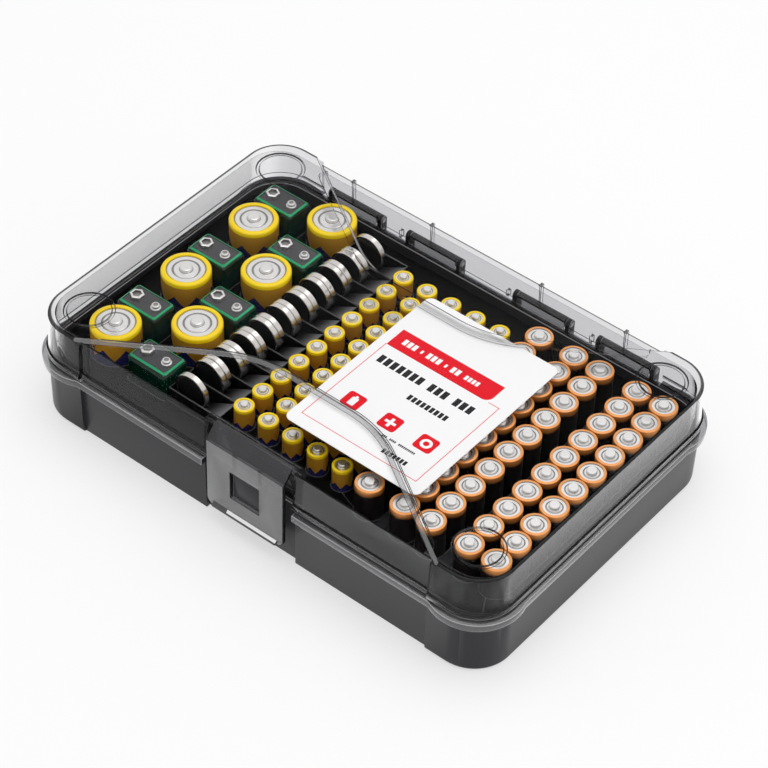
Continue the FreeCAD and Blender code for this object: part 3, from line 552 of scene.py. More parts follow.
# %% Nickel and steel
def metal(name, colour, rough):
    """Bare metal with a drifting polish and fine scuffs."""
    finish = Finish(name)
    point = finish.point()
    scuffs = finish.noise(point, scale=2500.0, detail=2.0)
    return finish.surface(finish.principled(
        Base_Color=colour,
        Metallic=1.0,
        Roughness=rough + finish.noise(point, scale=220.0) * 0.10,
        Normal=finish.bump(scuffs, strength=0.12, distance=0.05 * MM)))


NICKEL = metal("nickel_cap", shade(0.70, red=0.012, blue=-0.012), rough=0.24)
NICKEL_DARK = metal("nickel_groove", shade(0.26, red=0.006, blue=-0.006), rough=0.35)
COIN_RIM = metal("coin_rim_steel", shade(0.62, red=0.03, blue=-0.03), rough=0.16)
# A darker, warmer steel for one ring of the coin's top.
COIN_RING_DARK = metal("coin_rim_darker_steel", shade(0.22, red=0.06, blue=-0.03), rough=0.30)
PIN_WIRE = metal("pin_wire", shade(0.40), rough=0.30)
print("metals:", NICKEL.name, NICKEL_DARK.name, COIN_RIM.name, COIN_RING_DARK.name, PIN_WIRE.name)

# %% [markdown]
# ## Printed films
# A cell wears a thin plastic sleeve, printed on its inside, so its colour lies under a clear skin. Two near
# tones that drift keep a long sleeve from looking painted, and a light coat gives the skin. Metallic inks
# get a share of metal.

# %% Films and gasket
def film(name, dark, light, rough, metallic=0.0):
    """Printed sleeve: two near tones that drift, under a clear gloss."""
    finish = Finish(name)
    drift = finish.noise(finish.point(), scale=70.0)
    return finish.surface(finish.principled(
        Base_Color=finish.blend(drift, dark, light),
        Metallic=metallic,
        Roughness=rough,
        Specular_IOR_Level=0.3,
        Coat_Weight=0.12))


COPPER = film(
    "copper_band", (0.78, 0.30, 0.085, 1), (0.86, 0.38, 0.12, 1), rough=0.32, metallic=0.25)
YELLOW = film("yellow_band", (0.95, 0.64, 0.0, 1), (1.0, 0.74, 0.0, 1), rough=0.34)
GOLD = film("gold_sleeve", (0.52, 0.24, 0.016, 1), (0.66, 0.33, 0.028, 1), rough=0.30, metallic=0.15)
NAVY = film("navy_foot", (0.012, 0.012, 0.085, 1), (0.022, 0.022, 0.14, 1), rough=0.25)
GREEN = film("green_rim", (0.0, 0.33, 0.12, 1), (0.02, 0.46, 0.19, 1), rough=0.28)
GREEN_FILM = film("green_sleeve", (0.0, 0.004, 0.002, 1), (0.0, 0.030, 0.013, 1), rough=0.25)
BLOCK_TOP = film("block_top_plate", shade(0.040, blue=0.003), shade(0.060, blue=0.005), rough=0.40)
GASKET = film("black_gasket", shade(0.003), shade(0.006), rough=0.30)
print("films:", COPPER.name, YELLOW.name, GOLD.name, NAVY.name, GREEN.name, GREEN_FILM.name,
      BLOCK_TOP.name, GASKET.name)

# %% [markdown]
# ## Sleeve of the AA cells
# The AA cells are black with a copper top. The two inks don't meet in a hard line: the copper thins out
# over a few millimetres, and its lower end wanders. The height of a point gives the share of copper, and
# noise moves that height up and down.

# %% Black sleeve with a copper top
FADE_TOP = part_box("aa_column_1")[1].z - 2 * MM
FADE_DROP = 4.6 * MM
FADE_LENGTH = 2.6 * MM
FADE_WANDER = 2.4 * MM


def aa_sleeve():
    """Black sleeve with a copper top whose lower edge fades out."""
    finish = Finish("aa_sleeve")
    point = finish.point()
    _, _, z = finish.split(point)
    wander = finish.noise(point, scale=120.0) * FADE_WANDER
    share = ((z - (FADE_TOP - FADE_DROP) - wander) / FADE_LENGTH).clamped()
    return finish.surface(finish.principled(
        Base_Color=finish.blend(share, shade(0.005, red=0.002), (0.62, 0.24, 0.055, 1)),
        Metallic=share * 0.5,
        Roughness=0.28,
        Specular_IOR_Level=0.3,
        Coat_Weight=0.15))


AA_SLEEVE = aa_sleeve()
print("AA sleeve:", AA_SLEEVE.name)

# %% [markdown]
# ## Cleaning a copied shell
# The frame's shells are made of loose triangles. Before a copy can be worked on by hand, its doubled points
# are merged and the triangles that lie in one plane are joined into whole faces, so that an edge in the mesh
# is an edge of the moulding.

# %% A clean copy of a shell
DOUBLES = 0.004 * MM
SAME_PLANE = math.radians(0.6)


def clean_copy(node):
    """Own copy of a shell, with whole faces in place of loose triangles."""
    piece = own_copy(NODES[node])
    choose(piece, "VERT", lambda vertex: True)
    bpy.ops.mesh.customdata_custom_splitnormals_clear()
    bpy.ops.mesh.remove_doubles(threshold=DOUBLES)
    bpy.ops.mesh.dissolve_limited(angle_limit=SAME_PLANE)
    bpy.ops.object.mode_set(mode="OBJECT")
    print(f"{node}: {len(piece.data.polygons)} whole faces")
    return piece


# %% [markdown]
# ## Lips round the pockets
# Every pocket in the deck has a thin raised lip. Its path is already there, as the edge where the deck turns
# down into the pocket, so those edges are taken from a copy of the insert, made into a curve with a round
# bevel, and turned back into a mesh. The coin rack has walls of its own and no lips.
# The lips wear a paler finish than the deck, a painted highlight.

# %% Pocket lips
TRAY_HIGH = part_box("battery_tray")[1]
TRAY_WALL = 2 * MM
RACK_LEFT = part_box("coin_cells")[0].x - 2 * MM
RACK_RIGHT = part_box("aaa_column_1")[0].x - 2 * MM
LIP_RADIUS = 0.32 * MM


def pocket_edges(mesh):
    """A test for the edges where the deck turns down into a pocket."""
    walls = {key for face in mesh.polygons if abs(face.normal.z) < 0.5 for key in face.edge_keys}

    def test(edge):
        ends = [mesh.vertices[index].co for index in edge.vertices]
        level = all(abs(end.z - DECK_TOP) < 0.01 * MM for end in ends)
        inside = abs(ends[0].x) < TRAY_HIGH.x - TRAY_WALL and abs(ends[0].y) < TRAY_HIGH.y - TRAY_WALL
        in_rack = RACK_LEFT < max(end.x for end in ends) < RACK_RIGHT
        return level and inside and not in_rack and edge.key in walls

    return test


def pocket_lips():
    """Round beads along the pocket edges of the insert."""
    piece = clean_copy("battery_tray")
    choose(piece, "EDGE", pocket_edges(piece.data))
    bpy.ops.mesh.select_all(action="INVERT")
    bpy.ops.mesh.delete(type="EDGE")
    bpy.ops.object.mode_set(mode="OBJECT")
    bpy.ops.object.convert(target="CURVE")
    piece = bpy.context.active_object
    piece.data.bevel_depth = LIP_RADIUS
    piece.data.bevel_resolution = 1
    bpy.ops.object.convert(target="MESH")
    piece = bpy.context.active_object
    # Painted highlight: the lips take the paler finish.
    dress(piece, [LIP_HIGHLIGHT])
    bpy.ops.object.shade_smooth()
    return piece


settle(pocket_lips(), "pocket_lips", "case", "insert")

# %% [markdown]
# ## Soft edges for the moulded shells
# The solids have sharp edges, which no moulding has. A Bevel modifier rounds them all, and it can hand its
# new faces a material of their own: that is how the lid's edges come to look darker than its walls. Where
# two edges lie closer together than the bevel is wide, the rounded faces would cross, so there the end of a
# small rib or slot is first drawn back a little.

# %% Rounding
EDGE_ANGLE = math.radians(35)
SMOOTH_ANGLE = math.radians(32)


def soften(piece, width, bevel_slot=-1):
    """Round every edge; the new faces take the material in the given slot, or their neighbour's for -1."""
    bevel = piece.modifiers.new("soft edges", "BEVEL")
    bevel.width = width
    bevel.segments = 2
    bevel.limit_method = "ANGLE"
    bevel.angle_limit = EDGE_ANGLE
    bevel.use_clamp_overlap = False
    bevel.material = bevel_slot
    pick(piece)
    bpy.ops.object.modifier_apply(modifier=bevel.name)
    bpy.ops.object.shade_smooth_by_angle(angle=SMOOTH_ANGLE)


def draw_back(piece, test, move):
    """Draw the end of a small rib or slot away from a neighbouring edge, so that both can be rounded."""
    choose(piece, "VERT", test)
    bpy.ops.transform.translate(value=move)
    bpy.ops.object.mode_set(mode="OBJECT")


print("edges can be rounded")

# %% [markdown]
# ## The tub
# The tub is one dark moulding with a thin plate standing out all round it, on which the lid closes. The plate
# is thin enough to let light through, and the rounded edges get a paler finish, a painted highlight. So the
# copy has three finishes: the skin, the painted highlight on the rounded edges above the plate's foot, and
# the plate.

# %% Tub shell
RIM_LOW = 31.7 * MM
RIM_HIGH = 36.1 * MM
TUB_SKIN, TUB_ROUND, TUB_PLATE = range(3)


def is_rim(face):
    """The thin plate round the tub, apart from the catch boss at the front."""
    outward = face.normal.x * face.center.x + face.normal.y * face.center.y > 0
    catch = abs(face.center.x) < 30 * MM and face.center.y < -80 * MM
    at_height = RIM_LOW < face.center.z < RIM_HIGH
    return at_height and not catch and (outward or abs(face.normal.z) > 0.9)


def is_low_edge(face):
    """Rounded edges below the rim, which lie in shade."""
    return face.material_index == TUB_ROUND and face.center.z < RIM_LOW - 0.2 * MM


tub = clean_copy("case_base")
dress(tub, [TUB, TUB_EDGE_HIGHLIGHT, TUB_RIM])
# The rounded edges take the paler finish, a painted highlight; those below the rim go back to the skin.
soften(tub, 0.32 * MM, TUB_ROUND)
paint_faces(tub, TUB_SKIN, is_low_edge)
paint_faces(tub, TUB_PLATE, lambda face: face.material_index == TUB_SKIN and is_rim(face))
settle(tub, "tub_shell", "case", "tub", "case_base")

# %% [markdown]
# ## The insert
# The insert is one black moulding too. Its slanted coin ramps and the tops of its highest walls are the only
# faces that catch light, and both are found by their direction and height. The ramps get a painted ramp of
# tone, and the wall tops the paler lip finish, a painted highlight.

# %% Insert shell
DECK_SKIN, RAMP, WALL_TOP = range(3)


def is_ramp(face):
    return 0.5 < face.normal.z < 0.97 and face.normal.x < -0.2


def is_wall_top(face):
    return face.normal.z > 0.9 and face.center.z > TRAY_HIGH.z - 0.2 * MM


insert = clean_copy("battery_tray")
dress(insert, [INSERT, INSERT_RAMP, LIP_HIGHLIGHT])
soften(insert, 0.18 * MM)
paint_faces(insert, RAMP, is_ramp)
# Painted highlight on the tops of the highest walls.
paint_faces(insert, WALL_TOP, is_wall_top)
settle(insert, "insert_shell", "case", "insert", "battery_tray")

# %% [markdown]
# ## The clear lid
# The lid is one clear moulding. Its flat top is almost invisible, its walls carry a grey tint, and its
# edges, the two sloped steps, the ring grooves and the ribs are painted as dark lines, painted shade. One
# could split the lid into several pieces, but then its rounded edges would no longer join. So the lid stays
# whole, and its faces are sorted, first by the way they look: up, sideways or aslant.

# %% Which way a face looks
LID_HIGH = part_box("lid")[1]
LID_CLEAR, LID_SIDE, LID_DARK, LID_SLOPE, LID_HINGE = range(5)
STEP_LOW = 59 * MM
TOP_LOW = 60.5 * MM


def is_upright(face):
    return abs(face.normal.z) < 0.12


def is_aslant(face):
    return not is_upright(face) and abs(face.normal.z) <= 0.985


def is_step(face):
    """Slopes down into the two sunken fields; the right part of the back one keeps the darker edge finish."""
    x, y, z = face.center
    slope = 0.3 < face.normal.z < 0.9 and z > STEP_LOW
    return slope and abs(x) < 118 * MM and abs(y) < 91 * MM and (y < 0 or x < -36 * MM)


def is_groove_wall(face):
    """Small upright faces in the top: the sides of the ring grooves and of the ribs."""
    return is_upright(face) and face.center.z > TOP_LOW and face.area < 4 * MM * MM


print("lid top at", round(LID_HIGH.z / MM, 1), "mm")

# %% [markdown]
# ## Special places of the lid
# Some faces look like their neighbours but stand where the plastic is thicker or folded: the knuckles and
# the small ribs over them, the cheeks beside the flap, and the corner posts, where the set-in panels step
# out. These are found by their place alone. The knuckles, the rib tops, the cheeks and the front posts are
# painted dark as painted shade, and the back posts are painted back to the plain wall.

# %% Hinges, cheeks and corner posts
HINGE_MIDDLES = (35.25 * MM, 88 * MM)
POST_MIDDLE = 110 * MM


def near_hinge(face, reach):
    """Whether a face lies within reach of the middle of one of the four hinges, measured along the back."""
    return any(abs(abs(face.center.x) - middle) < reach for middle in HINGE_MIDDLES)


def is_hinge(face):
    """Hinge knuckles, the tops of the gate ribs above them and the cheeks beside the flap, painted dark as
    painted shade.
    """
    x, y, z = face.center
    knuckle = near_hinge(face, 19 * MM) and y > LID_HIGH.y - 5.2 * MM and z < 44.2 * MM
    rib_top = near_hinge(face, 1.6 * MM) and y > 88 * MM and 59.9 * MM < z < 61 * MM
    cheek = 26.5 * MM < abs(x) < 31 * MM and y < -83.5 * MM and abs(face.normal.x) > 0.5
    return knuckle or rib_top or cheek


def is_back_post(face):
    """Where the set-in back panel meets the corner posts."""
    x, y, z = face.center
    return abs(abs(x) - POST_MIDDLE) < 5 * MM and y > 85 * MM and z < TOP_LOW


def is_front_post(face):
    """Where the set-in front panel meets the corner posts; painted dark there as painted shade."""
    x, y, z = face.center
    return abs(abs(x) - POST_MIDDLE) < 2 * MM and y < -85 * MM and z < TOP_LOW


print("hinge middles, mm:", [round(middle / MM, 2) for middle in HINGE_MIDDLES])

# %% [markdown]
# ## Rounding and painting the lid
# Beside one hinge a narrow moulding slot begins so close to the wall's lower edge that its end is drawn up
# before the edges are rounded. The paint goes on from the widest group of faces to the narrowest, as each
# later coat covers the one before.

# %% Lid
def is_slot_end(vertex):
    """The lower end of the moulding slot beside a hinge."""
    x, y, z = vertex.co
    return 15 * MM < x < 16.5 * MM and 89 * MM < y < 92.1 * MM and z < 41.7 * MM


lid = clean_copy("lid")
dress(lid, [LID_TOP, LID_WALL, LID_EDGE_SHADE, LID_STEP, LID_PAINTED_SHADE])
draw_back(lid, is_slot_end, (0, -0.035 * MM, 0.7 * MM))
soften(lid, 0.30 * MM, LID_DARK)
paint_faces(lid, LID_SIDE, lambda face: is_upright(face) and face.material_index == LID_CLEAR)
# Painted shade: aslant faces, groove walls and front posts take the dark edge tint, and knuckles, rib tops
# and cheeks the other dark tint.
for coat, has_place in ((LID_DARK, is_aslant), (LID_DARK, is_groove_wall), (LID_SLOPE, is_step),
                        (LID_SIDE, is_back_post), (LID_DARK, is_front_post), (LID_HINGE, is_hinge)):
    paint_faces(lid, coat, has_place)
settle(lid, "lid_shell", "lid", "clear_lid", "lid")

# %% [markdown]
# ## The snap flap
# The flap is a clear plate with a square window for the catch, a shoulder that hangs under the lid's edge
# and a finger lip. The window's edges and the flap's sides are painted dark as painted shade, the darkest
# lines on the front of the case. The two ribs behind the window end level with its upper edge, so their ends
# are drawn down, out of the way of its rounding.

# %% Flap
FLAP_PLATE, FLAP_DARK, FLAP_TOP, FLAP_NOSE = range(4)


def is_window_rib_end(vertex):
    """The upper ends of the two ribs behind the window."""
    x, y, z = vertex.co
    return abs(x) < 9.3 * MM and y > -94 * MM and 52.3 * MM < z < 52.9 * MM


def is_flap_lip(face):
    """The outer face of the finger lip."""
    low = face.center.y < FLAP_LOW.y + 1.3 * MM and face.center.z < FLAP_LOW.z + 4 * MM
    return low and abs(face.normal.x) < 0.7


flap = clean_copy("latch_flap")
dress(flap, [FLAP_WALL, FLAP_EDGE_SHADE, FLAP_SHOULDER, FLAP_LIP_HIGHLIGHT])
draw_back(flap, is_window_rib_end, (0, 0, -0.9 * MM))
soften(flap, 0.30 * MM, FLAP_DARK)
# Painted shade: the flap's sides and the window's side walls take the dark edge tint.
paint_faces(flap, FLAP_DARK, lambda face: abs(face.normal.x) > 0.7)
paint_faces(flap, FLAP_TOP, lambda face: face.center.z > 53.6 * MM)
paint_faces(flap, FLAP_NOSE, is_flap_lip)
settle(flap, "flap_shell", "flap", "clear_flap", "latch_flap")

# %% [markdown]
# ## Round cells
# A column of ten cells is one node of the frame, and its box gives all that is needed: a cell's radius is
# half the box's width, and the rearmost cell touches the back of the box.

# %% Measures of a cell
CELLS_IN_COLUMN = 10


def height_of(node):
    """Height of a node in mm."""
    low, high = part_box(node)
    return (high.z - low.z) / MM


def rear_cell(node):
    """Radius of the cells in a node's column, and the middle of the rearmost one at its foot."""
    low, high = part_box(node)
    radius = (high.x - low.x) / 2
    return radius, Vector(((low.x + high.x) / 2, high.y - radius, low.z))


for cell_node in ("aa_column_1", "aaa_column_1", "c_cell_1"):
    print(cell_node, "radius and height, mm:", round(rear_cell(cell_node)[0] / MM, 2),
          round(height_of(cell_node), 1))

# %% [markdown]
# ## Turning a cell
# A cell is turned about one axis, so it starts as a short cylinder. Its top face is then inset and lifted
# ring by ring: rounded shoulder, flat band, sunken cap, groove and button. Each ring keeps the material that
# its face had, so the bands are painted on the way up. A spun outline would do as well, but it would have to
# be closed at its pole, and the rings are easier to read.

# %% Rings from the foot to the button
SLEEVE, BAND, CAP, GROOVE, FOOT = range(5)


def raise_rings(piece, steps):
    """Shape the selected top face ring by ring; each step is (inset, lift, material slot), in mm."""
    for inset, lift, slot in steps:
        piece.active_material_index = slot
        bpy.ops.object.material_slot_assign()
        if inset:
            bpy.ops.mesh.inset(thickness=inset * MM)
            bpy.ops.transform.translate(value=(0, 0, lift * MM))
        else:
            bpy.ops.mesh.extrude_region_move(TRANSFORM_OT_translate={"value": (0, 0, lift * MM)})
    bpy.ops.object.mode_set(mode="OBJECT")


def turned_cell(node, sides, foot, steps, materials):
    """One cell at the place of a node's rearmost cell, turned up from a foot of the given height in mm."""
    radius, middle = rear_cell(node)
    deselect()
    bpy.ops.mesh.primitive_cylinder_add(
        vertices=sides, radius=radius, depth=foot * MM, end_fill_type="NGON",
        location=middle + Vector((0, 0, foot * MM / 2)))
    cell = bpy.context.active_object
    dress(cell, materials)
    choose(cell, "FACE", lambda face: face.normal.z > 0.5)
    raise_rings(cell, steps)
    bpy.ops.object.transform_apply(location=True, rotation=True, scale=True)
    bpy.ops.object.shade_smooth_by_angle(angle=EDGE_ANGLE)
    return cell


print("materials of a turned cell: sleeve, band, cap, groove and foot")

# %% [markdown]
# ## Bands, teeth and columns
# The lower sleeve of some cells ends in a zigzag. It could be a texture, but a real edge between two
# materials stays sharp from close by, so the points of one ring are slid up the wall in turn. A column of
# ten cells is then one cell and an Array modifier.

# %% Painting, cutting and repeating
def paint_band(cell, slot, low, high):
    """Paint the upright wall of a cell between two heights above its foot, in mm."""
    foot = min(corner.co.z for corner in cell.data.vertices)
    paint_faces(cell, slot, lambda face: abs(face.normal.z) < 0.5
                and low * MM < face.center.z - foot < high * MM)


def cut_teeth(cell, middle, height, sides, period, tooth):
    """Slide the points of one ring up the sleeve into teeth: period is in sides and tooth in mm."""
    def turn_of(point):
        return round(math.atan2(point.y - middle.y, point.x - middle.x) / math.tau * sides) % period

    for step in range(1, period):
        choose(cell, "VERT", lambda vertex: abs(vertex.co.z - height) < 0.001 * MM
               and turn_of(vertex.co) == step)
        share = 1 - abs(2 * step / period - 1)
        bpy.ops.transform.translate(value=(0, 0, tooth * MM * share))
    bpy.ops.object.mode_set(mode="OBJECT")


def repeat(piece, count, pitch):
    """Repeat a piece towards the front."""
    row = piece.modifiers.new("row", "ARRAY")
    row.count = count
    row.use_relative_offset = False
    row.use_constant_offset = True
    row.constant_offset_displace = (0, -pitch, 0)
    pick(piece)
    bpy.ops.object.modifier_apply(modifier=row.name)


def fill_column(cell, node):
    """Repeat a cell until its column fills the node's box."""
    low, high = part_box(node)
    repeat(cell, CELLS_IN_COLUMN, (high.y - low.y - (high.x - low.x)) / (CELLS_IN_COLUMN - 1))


print("cells to a column:", CELLS_IN_COLUMN)

# %% [markdown]
# ## AA cells
# The AA cell is black below and copper above, with the copper going over its shoulder. Its bright cap lies
# in a shallow groove, and the button stands in the middle of it. Only the rounded shoulder keeps the plain
# copper: the wall under it is painted back to the sleeve's finish, which does the fading.

# %% AA cells
AA_HEIGHT = height_of("aa_column_1")
AA_FOOT, AA_SHOULDER_BAND, AA_SHOULDER, AA_BUTTON = 20.0, 6.0, 0.5, 1.5
AA_STEPS = [
    (0, AA_HEIGHT - AA_BUTTON - AA_SHOULDER - AA_SHOULDER_BAND - AA_FOOT, SLEEVE),
    (0, AA_SHOULDER_BAND, BAND),
    (0.15, 0.35, BAND), (0.35, 0.15, BAND), (0.95, 0.0, BAND),
    (0.10, -0.45, GROOVE),
    (1.35, 0.0, CAP),
    (0.20, -0.30, GROOVE), (0.35, 0.0, GROOVE),
    (0.20, 0.35, CAP), (0.75, 0.0, CAP),
    (0.08, 1.55, CAP), (0.35, 0.35, CAP), (0.60, 0.0, CAP),
]
aa_cells = turned_cell("aa_column_1", 32, AA_FOOT, AA_STEPS, [AA_SLEEVE, COPPER, NICKEL, NICKEL_DARK])
paint_band(aa_cells, SLEEVE, 1.0, AA_HEIGHT - 2.2)
fill_column(aa_cells, "aa_column_1")
settle(aa_cells, "aa_cells_1", "case", "copper_cell", "aa_column_1")
copy_to_places(aa_cells, "aa_cells", "aa_column", 5, "copper_cell")

# %% [markdown]
# ## AAA cells
# The slimmer AAA cell has a gold sleeve, a yellow band on its shoulder and a navy foot whose upper edge is
# cut in teeth. It is turned in the same way, with rings to its own measures.

# %% AAA cells
AAA_HEIGHT = height_of("aaa_column_1")
AAA_SIDES = 24
AAA_FOOT, AAA_SHOULDER_BAND, AAA_SHOULDER, AAA_BUTTON = 31.5, 1.2, 0.5, 1.5
AAA_STEPS = [
    (0, AAA_HEIGHT - AAA_BUTTON - AAA_SHOULDER - AAA_FOOT - AAA_SHOULDER_BAND, SLEEVE),
    (0, AAA_SHOULDER_BAND, BAND),
    (0.12, 0.35, BAND), (0.28, 0.15, BAND), (0.95, 0.0, BAND),
    (0.08, -0.40, GROOVE),
    (0.75, 0.0, CAP),
    (0.15, -0.25, GROOVE), (0.25, 0.0, GROOVE),
    (0.15, 0.30, CAP), (0.35, 0.0, CAP),
    (0.06, 1.50, CAP), (0.30, 0.35, CAP), (0.40, 0.0, CAP),
]
GOLD_CELL_PAINTS = [GOLD, YELLOW, NICKEL, NICKEL_DARK, NAVY]
aaa_cells = turned_cell("aaa_column_1", AAA_SIDES, AAA_FOOT, AAA_STEPS, GOLD_CELL_PAINTS)
paint_band(aaa_cells, BAND, AAA_HEIGHT - 3.0, AAA_HEIGHT - 1.6)
aaa_middle = rear_cell("aaa_column_1")[1]
aaa_seam = aaa_middle.z + AAA_FOOT * MM
paint_faces(aaa_cells, FOOT, lambda face: face.center.z < aaa_seam - 1 * MM)
cut_teeth(aaa_cells, aaa_middle, aaa_seam, AAA_SIDES, period=4, tooth=3.2)
fill_column(aaa_cells, "aaa_column_1")
settle(aaa_cells, "aaa_cells_1", "case", "gold_cell", "aaa_column_1")
copy_to_places(aaa_cells, "aaa_cells", "aaa_column", 5, "gold_cell")

# %% [markdown]
# ## C cells
# The C cell is the big one of the same family. Its cap is wide enough to show all its rings: a plate, a
# deep groove round it, a raised ring and the button, so it gets more steps and more sides.

# %% C cells
C_HEIGHT = height_of("c_cell_1")
C_SIDES = 56
C_FOOT, C_SHOULDER_BAND, C_SHOULDER, C_BUTTON = 33.0, 1.6, 1.0, 1.5
C_STEPS = [
    (0, C_HEIGHT - C_BUTTON - C_SHOULDER - C_FOOT - C_SHOULDER_BAND, SLEEVE),
    (0, C_SHOULDER_BAND, BAND),
    (0.25, 0.60, BAND), (0.60, 0.40, BAND), (1.70, 0.0, BAND),
    (0.10, -0.80, GROOVE), (0.50, 0.0, GROOVE),
    (0.30, 0.35, CAP), (2.20, 0.0, CAP),
    (0.35, -0.40, GROOVE), (0.45, 0.0, GROOVE),
    (0.35, 0.45, CAP), (2.60, 0.10, CAP),
    (0.30, 0.30, GROOVE),
    (0.10, 0.0, CAP), (0.15, 1.20, CAP), (0.40, 0.30, CAP), (1.20, 0.0, CAP),
]
c_cell = turned_cell("c_cell_1", C_SIDES, C_FOOT, C_STEPS, GOLD_CELL_PAINTS)
paint_band(c_cell, BAND, C_HEIGHT - 3.8, C_HEIGHT - 1.6)
c_middle = rear_cell("c_cell_1")[1]
c_seam = c_middle.z + C_FOOT * MM
paint_faces(c_cell, FOOT, lambda face: face.center.z < c_seam - 1 * MM)
cut_teeth(c_cell, c_middle, c_seam, C_SIDES, period=8, tooth=6.5)
settle(c_cell, "c_cell_turned_1", "case", "gold_cell", "c_cell_1")
copy_to_places(c_cell, "c_cell_turned", "c_cell", 6, "gold_cell")

# %% [markdown]
# ## Block cells
# A block cell is a box with rounded upright corners, a bright rim and a sunken top plate. Its upright edges
# are bevelled, and its top face goes through the same inset-and-lift steps as the round cells.

# %% Block body
BLOCK_PAINTS = [GREEN_FILM, GREEN, BLOCK_TOP, NICKEL, NICKEL_DARK]
B_FILM, B_RIM, B_PLATE, B_METAL, B_SHADE = range(5)
SNAP_HEIGHT = 2.1 * MM
BLOCK_CORNER = 2.5 * MM
BLOCK_STEPS = [
    (0.15, 0.25, B_RIM), (0.25, 0.15, B_RIM), (0.55, 0.0, B_RIM),
    (0.15, -0.35, B_PLATE), (0.50, 0.0, B_PLATE),
]
BLOCK_RIM_RISE = 0.4 * MM


def block_body(low, high):
    """Box of a block cell up to its rim, without its terminals."""
    size = Vector((high.x - low.x, high.y - low.y, high.z - SNAP_HEIGHT - BLOCK_RIM_RISE - low.z))
    middle = Vector(((low.x + high.x) / 2, (low.y + high.y) / 2, low.z + size.z / 2))
    deselect()
    bpy.ops.mesh.primitive_cube_add(size=1, location=middle, scale=size)
    bpy.ops.object.transform_apply(location=True, rotation=True, scale=True)
    body = bpy.context.active_object
    dress(body, BLOCK_PAINTS)
    points = body.data.vertices
    choose(body, "EDGE", lambda edge: abs(
        points[edge.vertices[0]].co.z - points[edge.vertices[1]].co.z) > 1 * MM)
    bpy.ops.mesh.bevel(offset=BLOCK_CORNER, segments=6, affect="EDGES")
    choose(body, "FACE", lambda face: face.normal.z > 0.9)
    raise_rings(body, BLOCK_STEPS)
    return body


print("block cell height, mm:", round(height_of("block_cell_1"), 1))

# %% [markdown]
# ## Snap terminals
# The two terminals of a block cell snap into each other: a round stud with a waist, and a wider socket with
# petals. Both are short cylinders. The petals come from pushing every second side of the cylinder outwards.

# %% Terminals
SOCKET_STEPS = [(0, 1.6, B_METAL), (0.35, 0.25, B_METAL), (0.75, 0.0, B_METAL), (0.15, -1.2, B_SHADE)]
STUD_STEPS = [
    (0, 0.1, B_METAL), (0.5, 0.1, B_METAL), (0.05, 0.8, B_METAL), (-0.35, 0.4, B_METAL),
    (0.35, 0.45, B_METAL), (0.5, 0.0, B_METAL), (0.15, -0.3, B_SHADE),
]


def terminal(centre, steps, sides, radius, petal=None):
    """Snap terminal from a short cylinder; petal says how much further every second side is pushed out."""
    deselect()
    bpy.ops.mesh.primitive_cylinder_add(
        vertices=sides, radius=radius * MM, depth=0.4 * MM, end_fill_type="NGON", location=centre)
    part = bpy.context.active_object
    dress(part, BLOCK_PAINTS)
    if petal:
        choose(part, "VERT", lambda vertex: round(
            math.atan2(vertex.co.y, vertex.co.x) / math.tau * sides) % 2 == 1)
        bpy.ops.transform.resize(value=(petal, petal, 1), center_override=centre)
    paint_faces(part, B_METAL, lambda face: True)
    choose(part, "FACE", lambda face: face.normal.z > 0.9)
    raise_rings(part, steps)
    return part


print("terminals: a socket in", len(SOCKET_STEPS), "steps and a stud in", len(STUD_STEPS))

# %% [markdown]
# ## A whole block cell
# The terminals stand a fixed distance apart on the top plate, so that any snap connector fits. Body and
# terminals are joined into one piece, which is copied to the other five places.

# %% Block cell with its terminals
SNAP_HALF_SPACING = 6.35 * MM
SNAP_SINK = 0.2 * MM


def block_cell(node):
    """A block cell at a node's place."""
    low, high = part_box(node)
    body = block_body(low, high)
    x, y = (low.x + high.x) / 2, (low.y + high.y) / 2
    z = high.z - SNAP_HEIGHT - SNAP_SINK
    socket = terminal(Vector((x - SNAP_HALF_SPACING, y, z)), SOCKET_STEPS, sides=12, radius=3.3, petal=1.18)
    stud = terminal(Vector((x + SNAP_HALF_SPACING, y, z)), STUD_STEPS, sides=24, radius=2.7)
    join(body, socket, stud)
    bpy.ops.object.shade_smooth_by_angle(angle=SMOOTH_ANGLE)
    return body


first_block = settle(block_cell("block_cell_1"), "block_cell_body_1", "case", "green_cell", "block_cell_1")
copy_to_places(first_block, "block_cell_body", "block_cell", 6, "green_cell")

# %% [markdown]
# ## Coin cells
# A coin cell is a shallow steel can with a smaller lid crimped into it. Seen on edge it is a bright band, a
# dark gasket line and a smaller disc. One coin is turned lying down: its wall is drawn out into a rounded
# rim, and its top face goes through rings for the crimp, the gasket and the disc.

# %% One coin, lying down
COIN_LOW, COIN_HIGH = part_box("coin_cells")
COIN_RADIUS = (COIN_HIGH.x - COIN_LOW.x) / 2
COIN_THICK = 3.2 * MM
RIM_SWELL = 0.3 * MM
STEEL, GAP, DARK_RING = range(3)
COIN_STEPS = [
    (0.3, 0.0, STEEL), (0.15, -0.9, GAP), (0.5, 0.0, GAP), (0.15, 0.8, DARK_RING),
    (0.4, 0.0, STEEL), (0.3, -0.12, GAP), (5.5, 0.0, GAP),
]


def lying_coin():
    """A coin cell at the origin, with its crimped side up."""
    deselect()
    bpy.ops.mesh.primitive_cylinder_add(
        vertices=48, radius=COIN_RADIUS - RIM_SWELL, depth=COIN_THICK, end_fill_type="NGON",
        location=(0, 0, 0))
    piece = bpy.context.active_object
    dress(piece, [COIN_RIM, GASKET, COIN_RING_DARK])
    choose(piece, "FACE", lambda face: abs(face.normal.z) < 0.5)
    bpy.ops.mesh.inset(thickness=0.35 * MM, depth=RIM_SWELL)
    choose(piece, "FACE", lambda face: face.normal.z > 0.9)
    raise_rings(piece, COIN_STEPS)
    return piece


coin = lying_coin()
print("one coin:", len(coin.data.polygons), "faces")

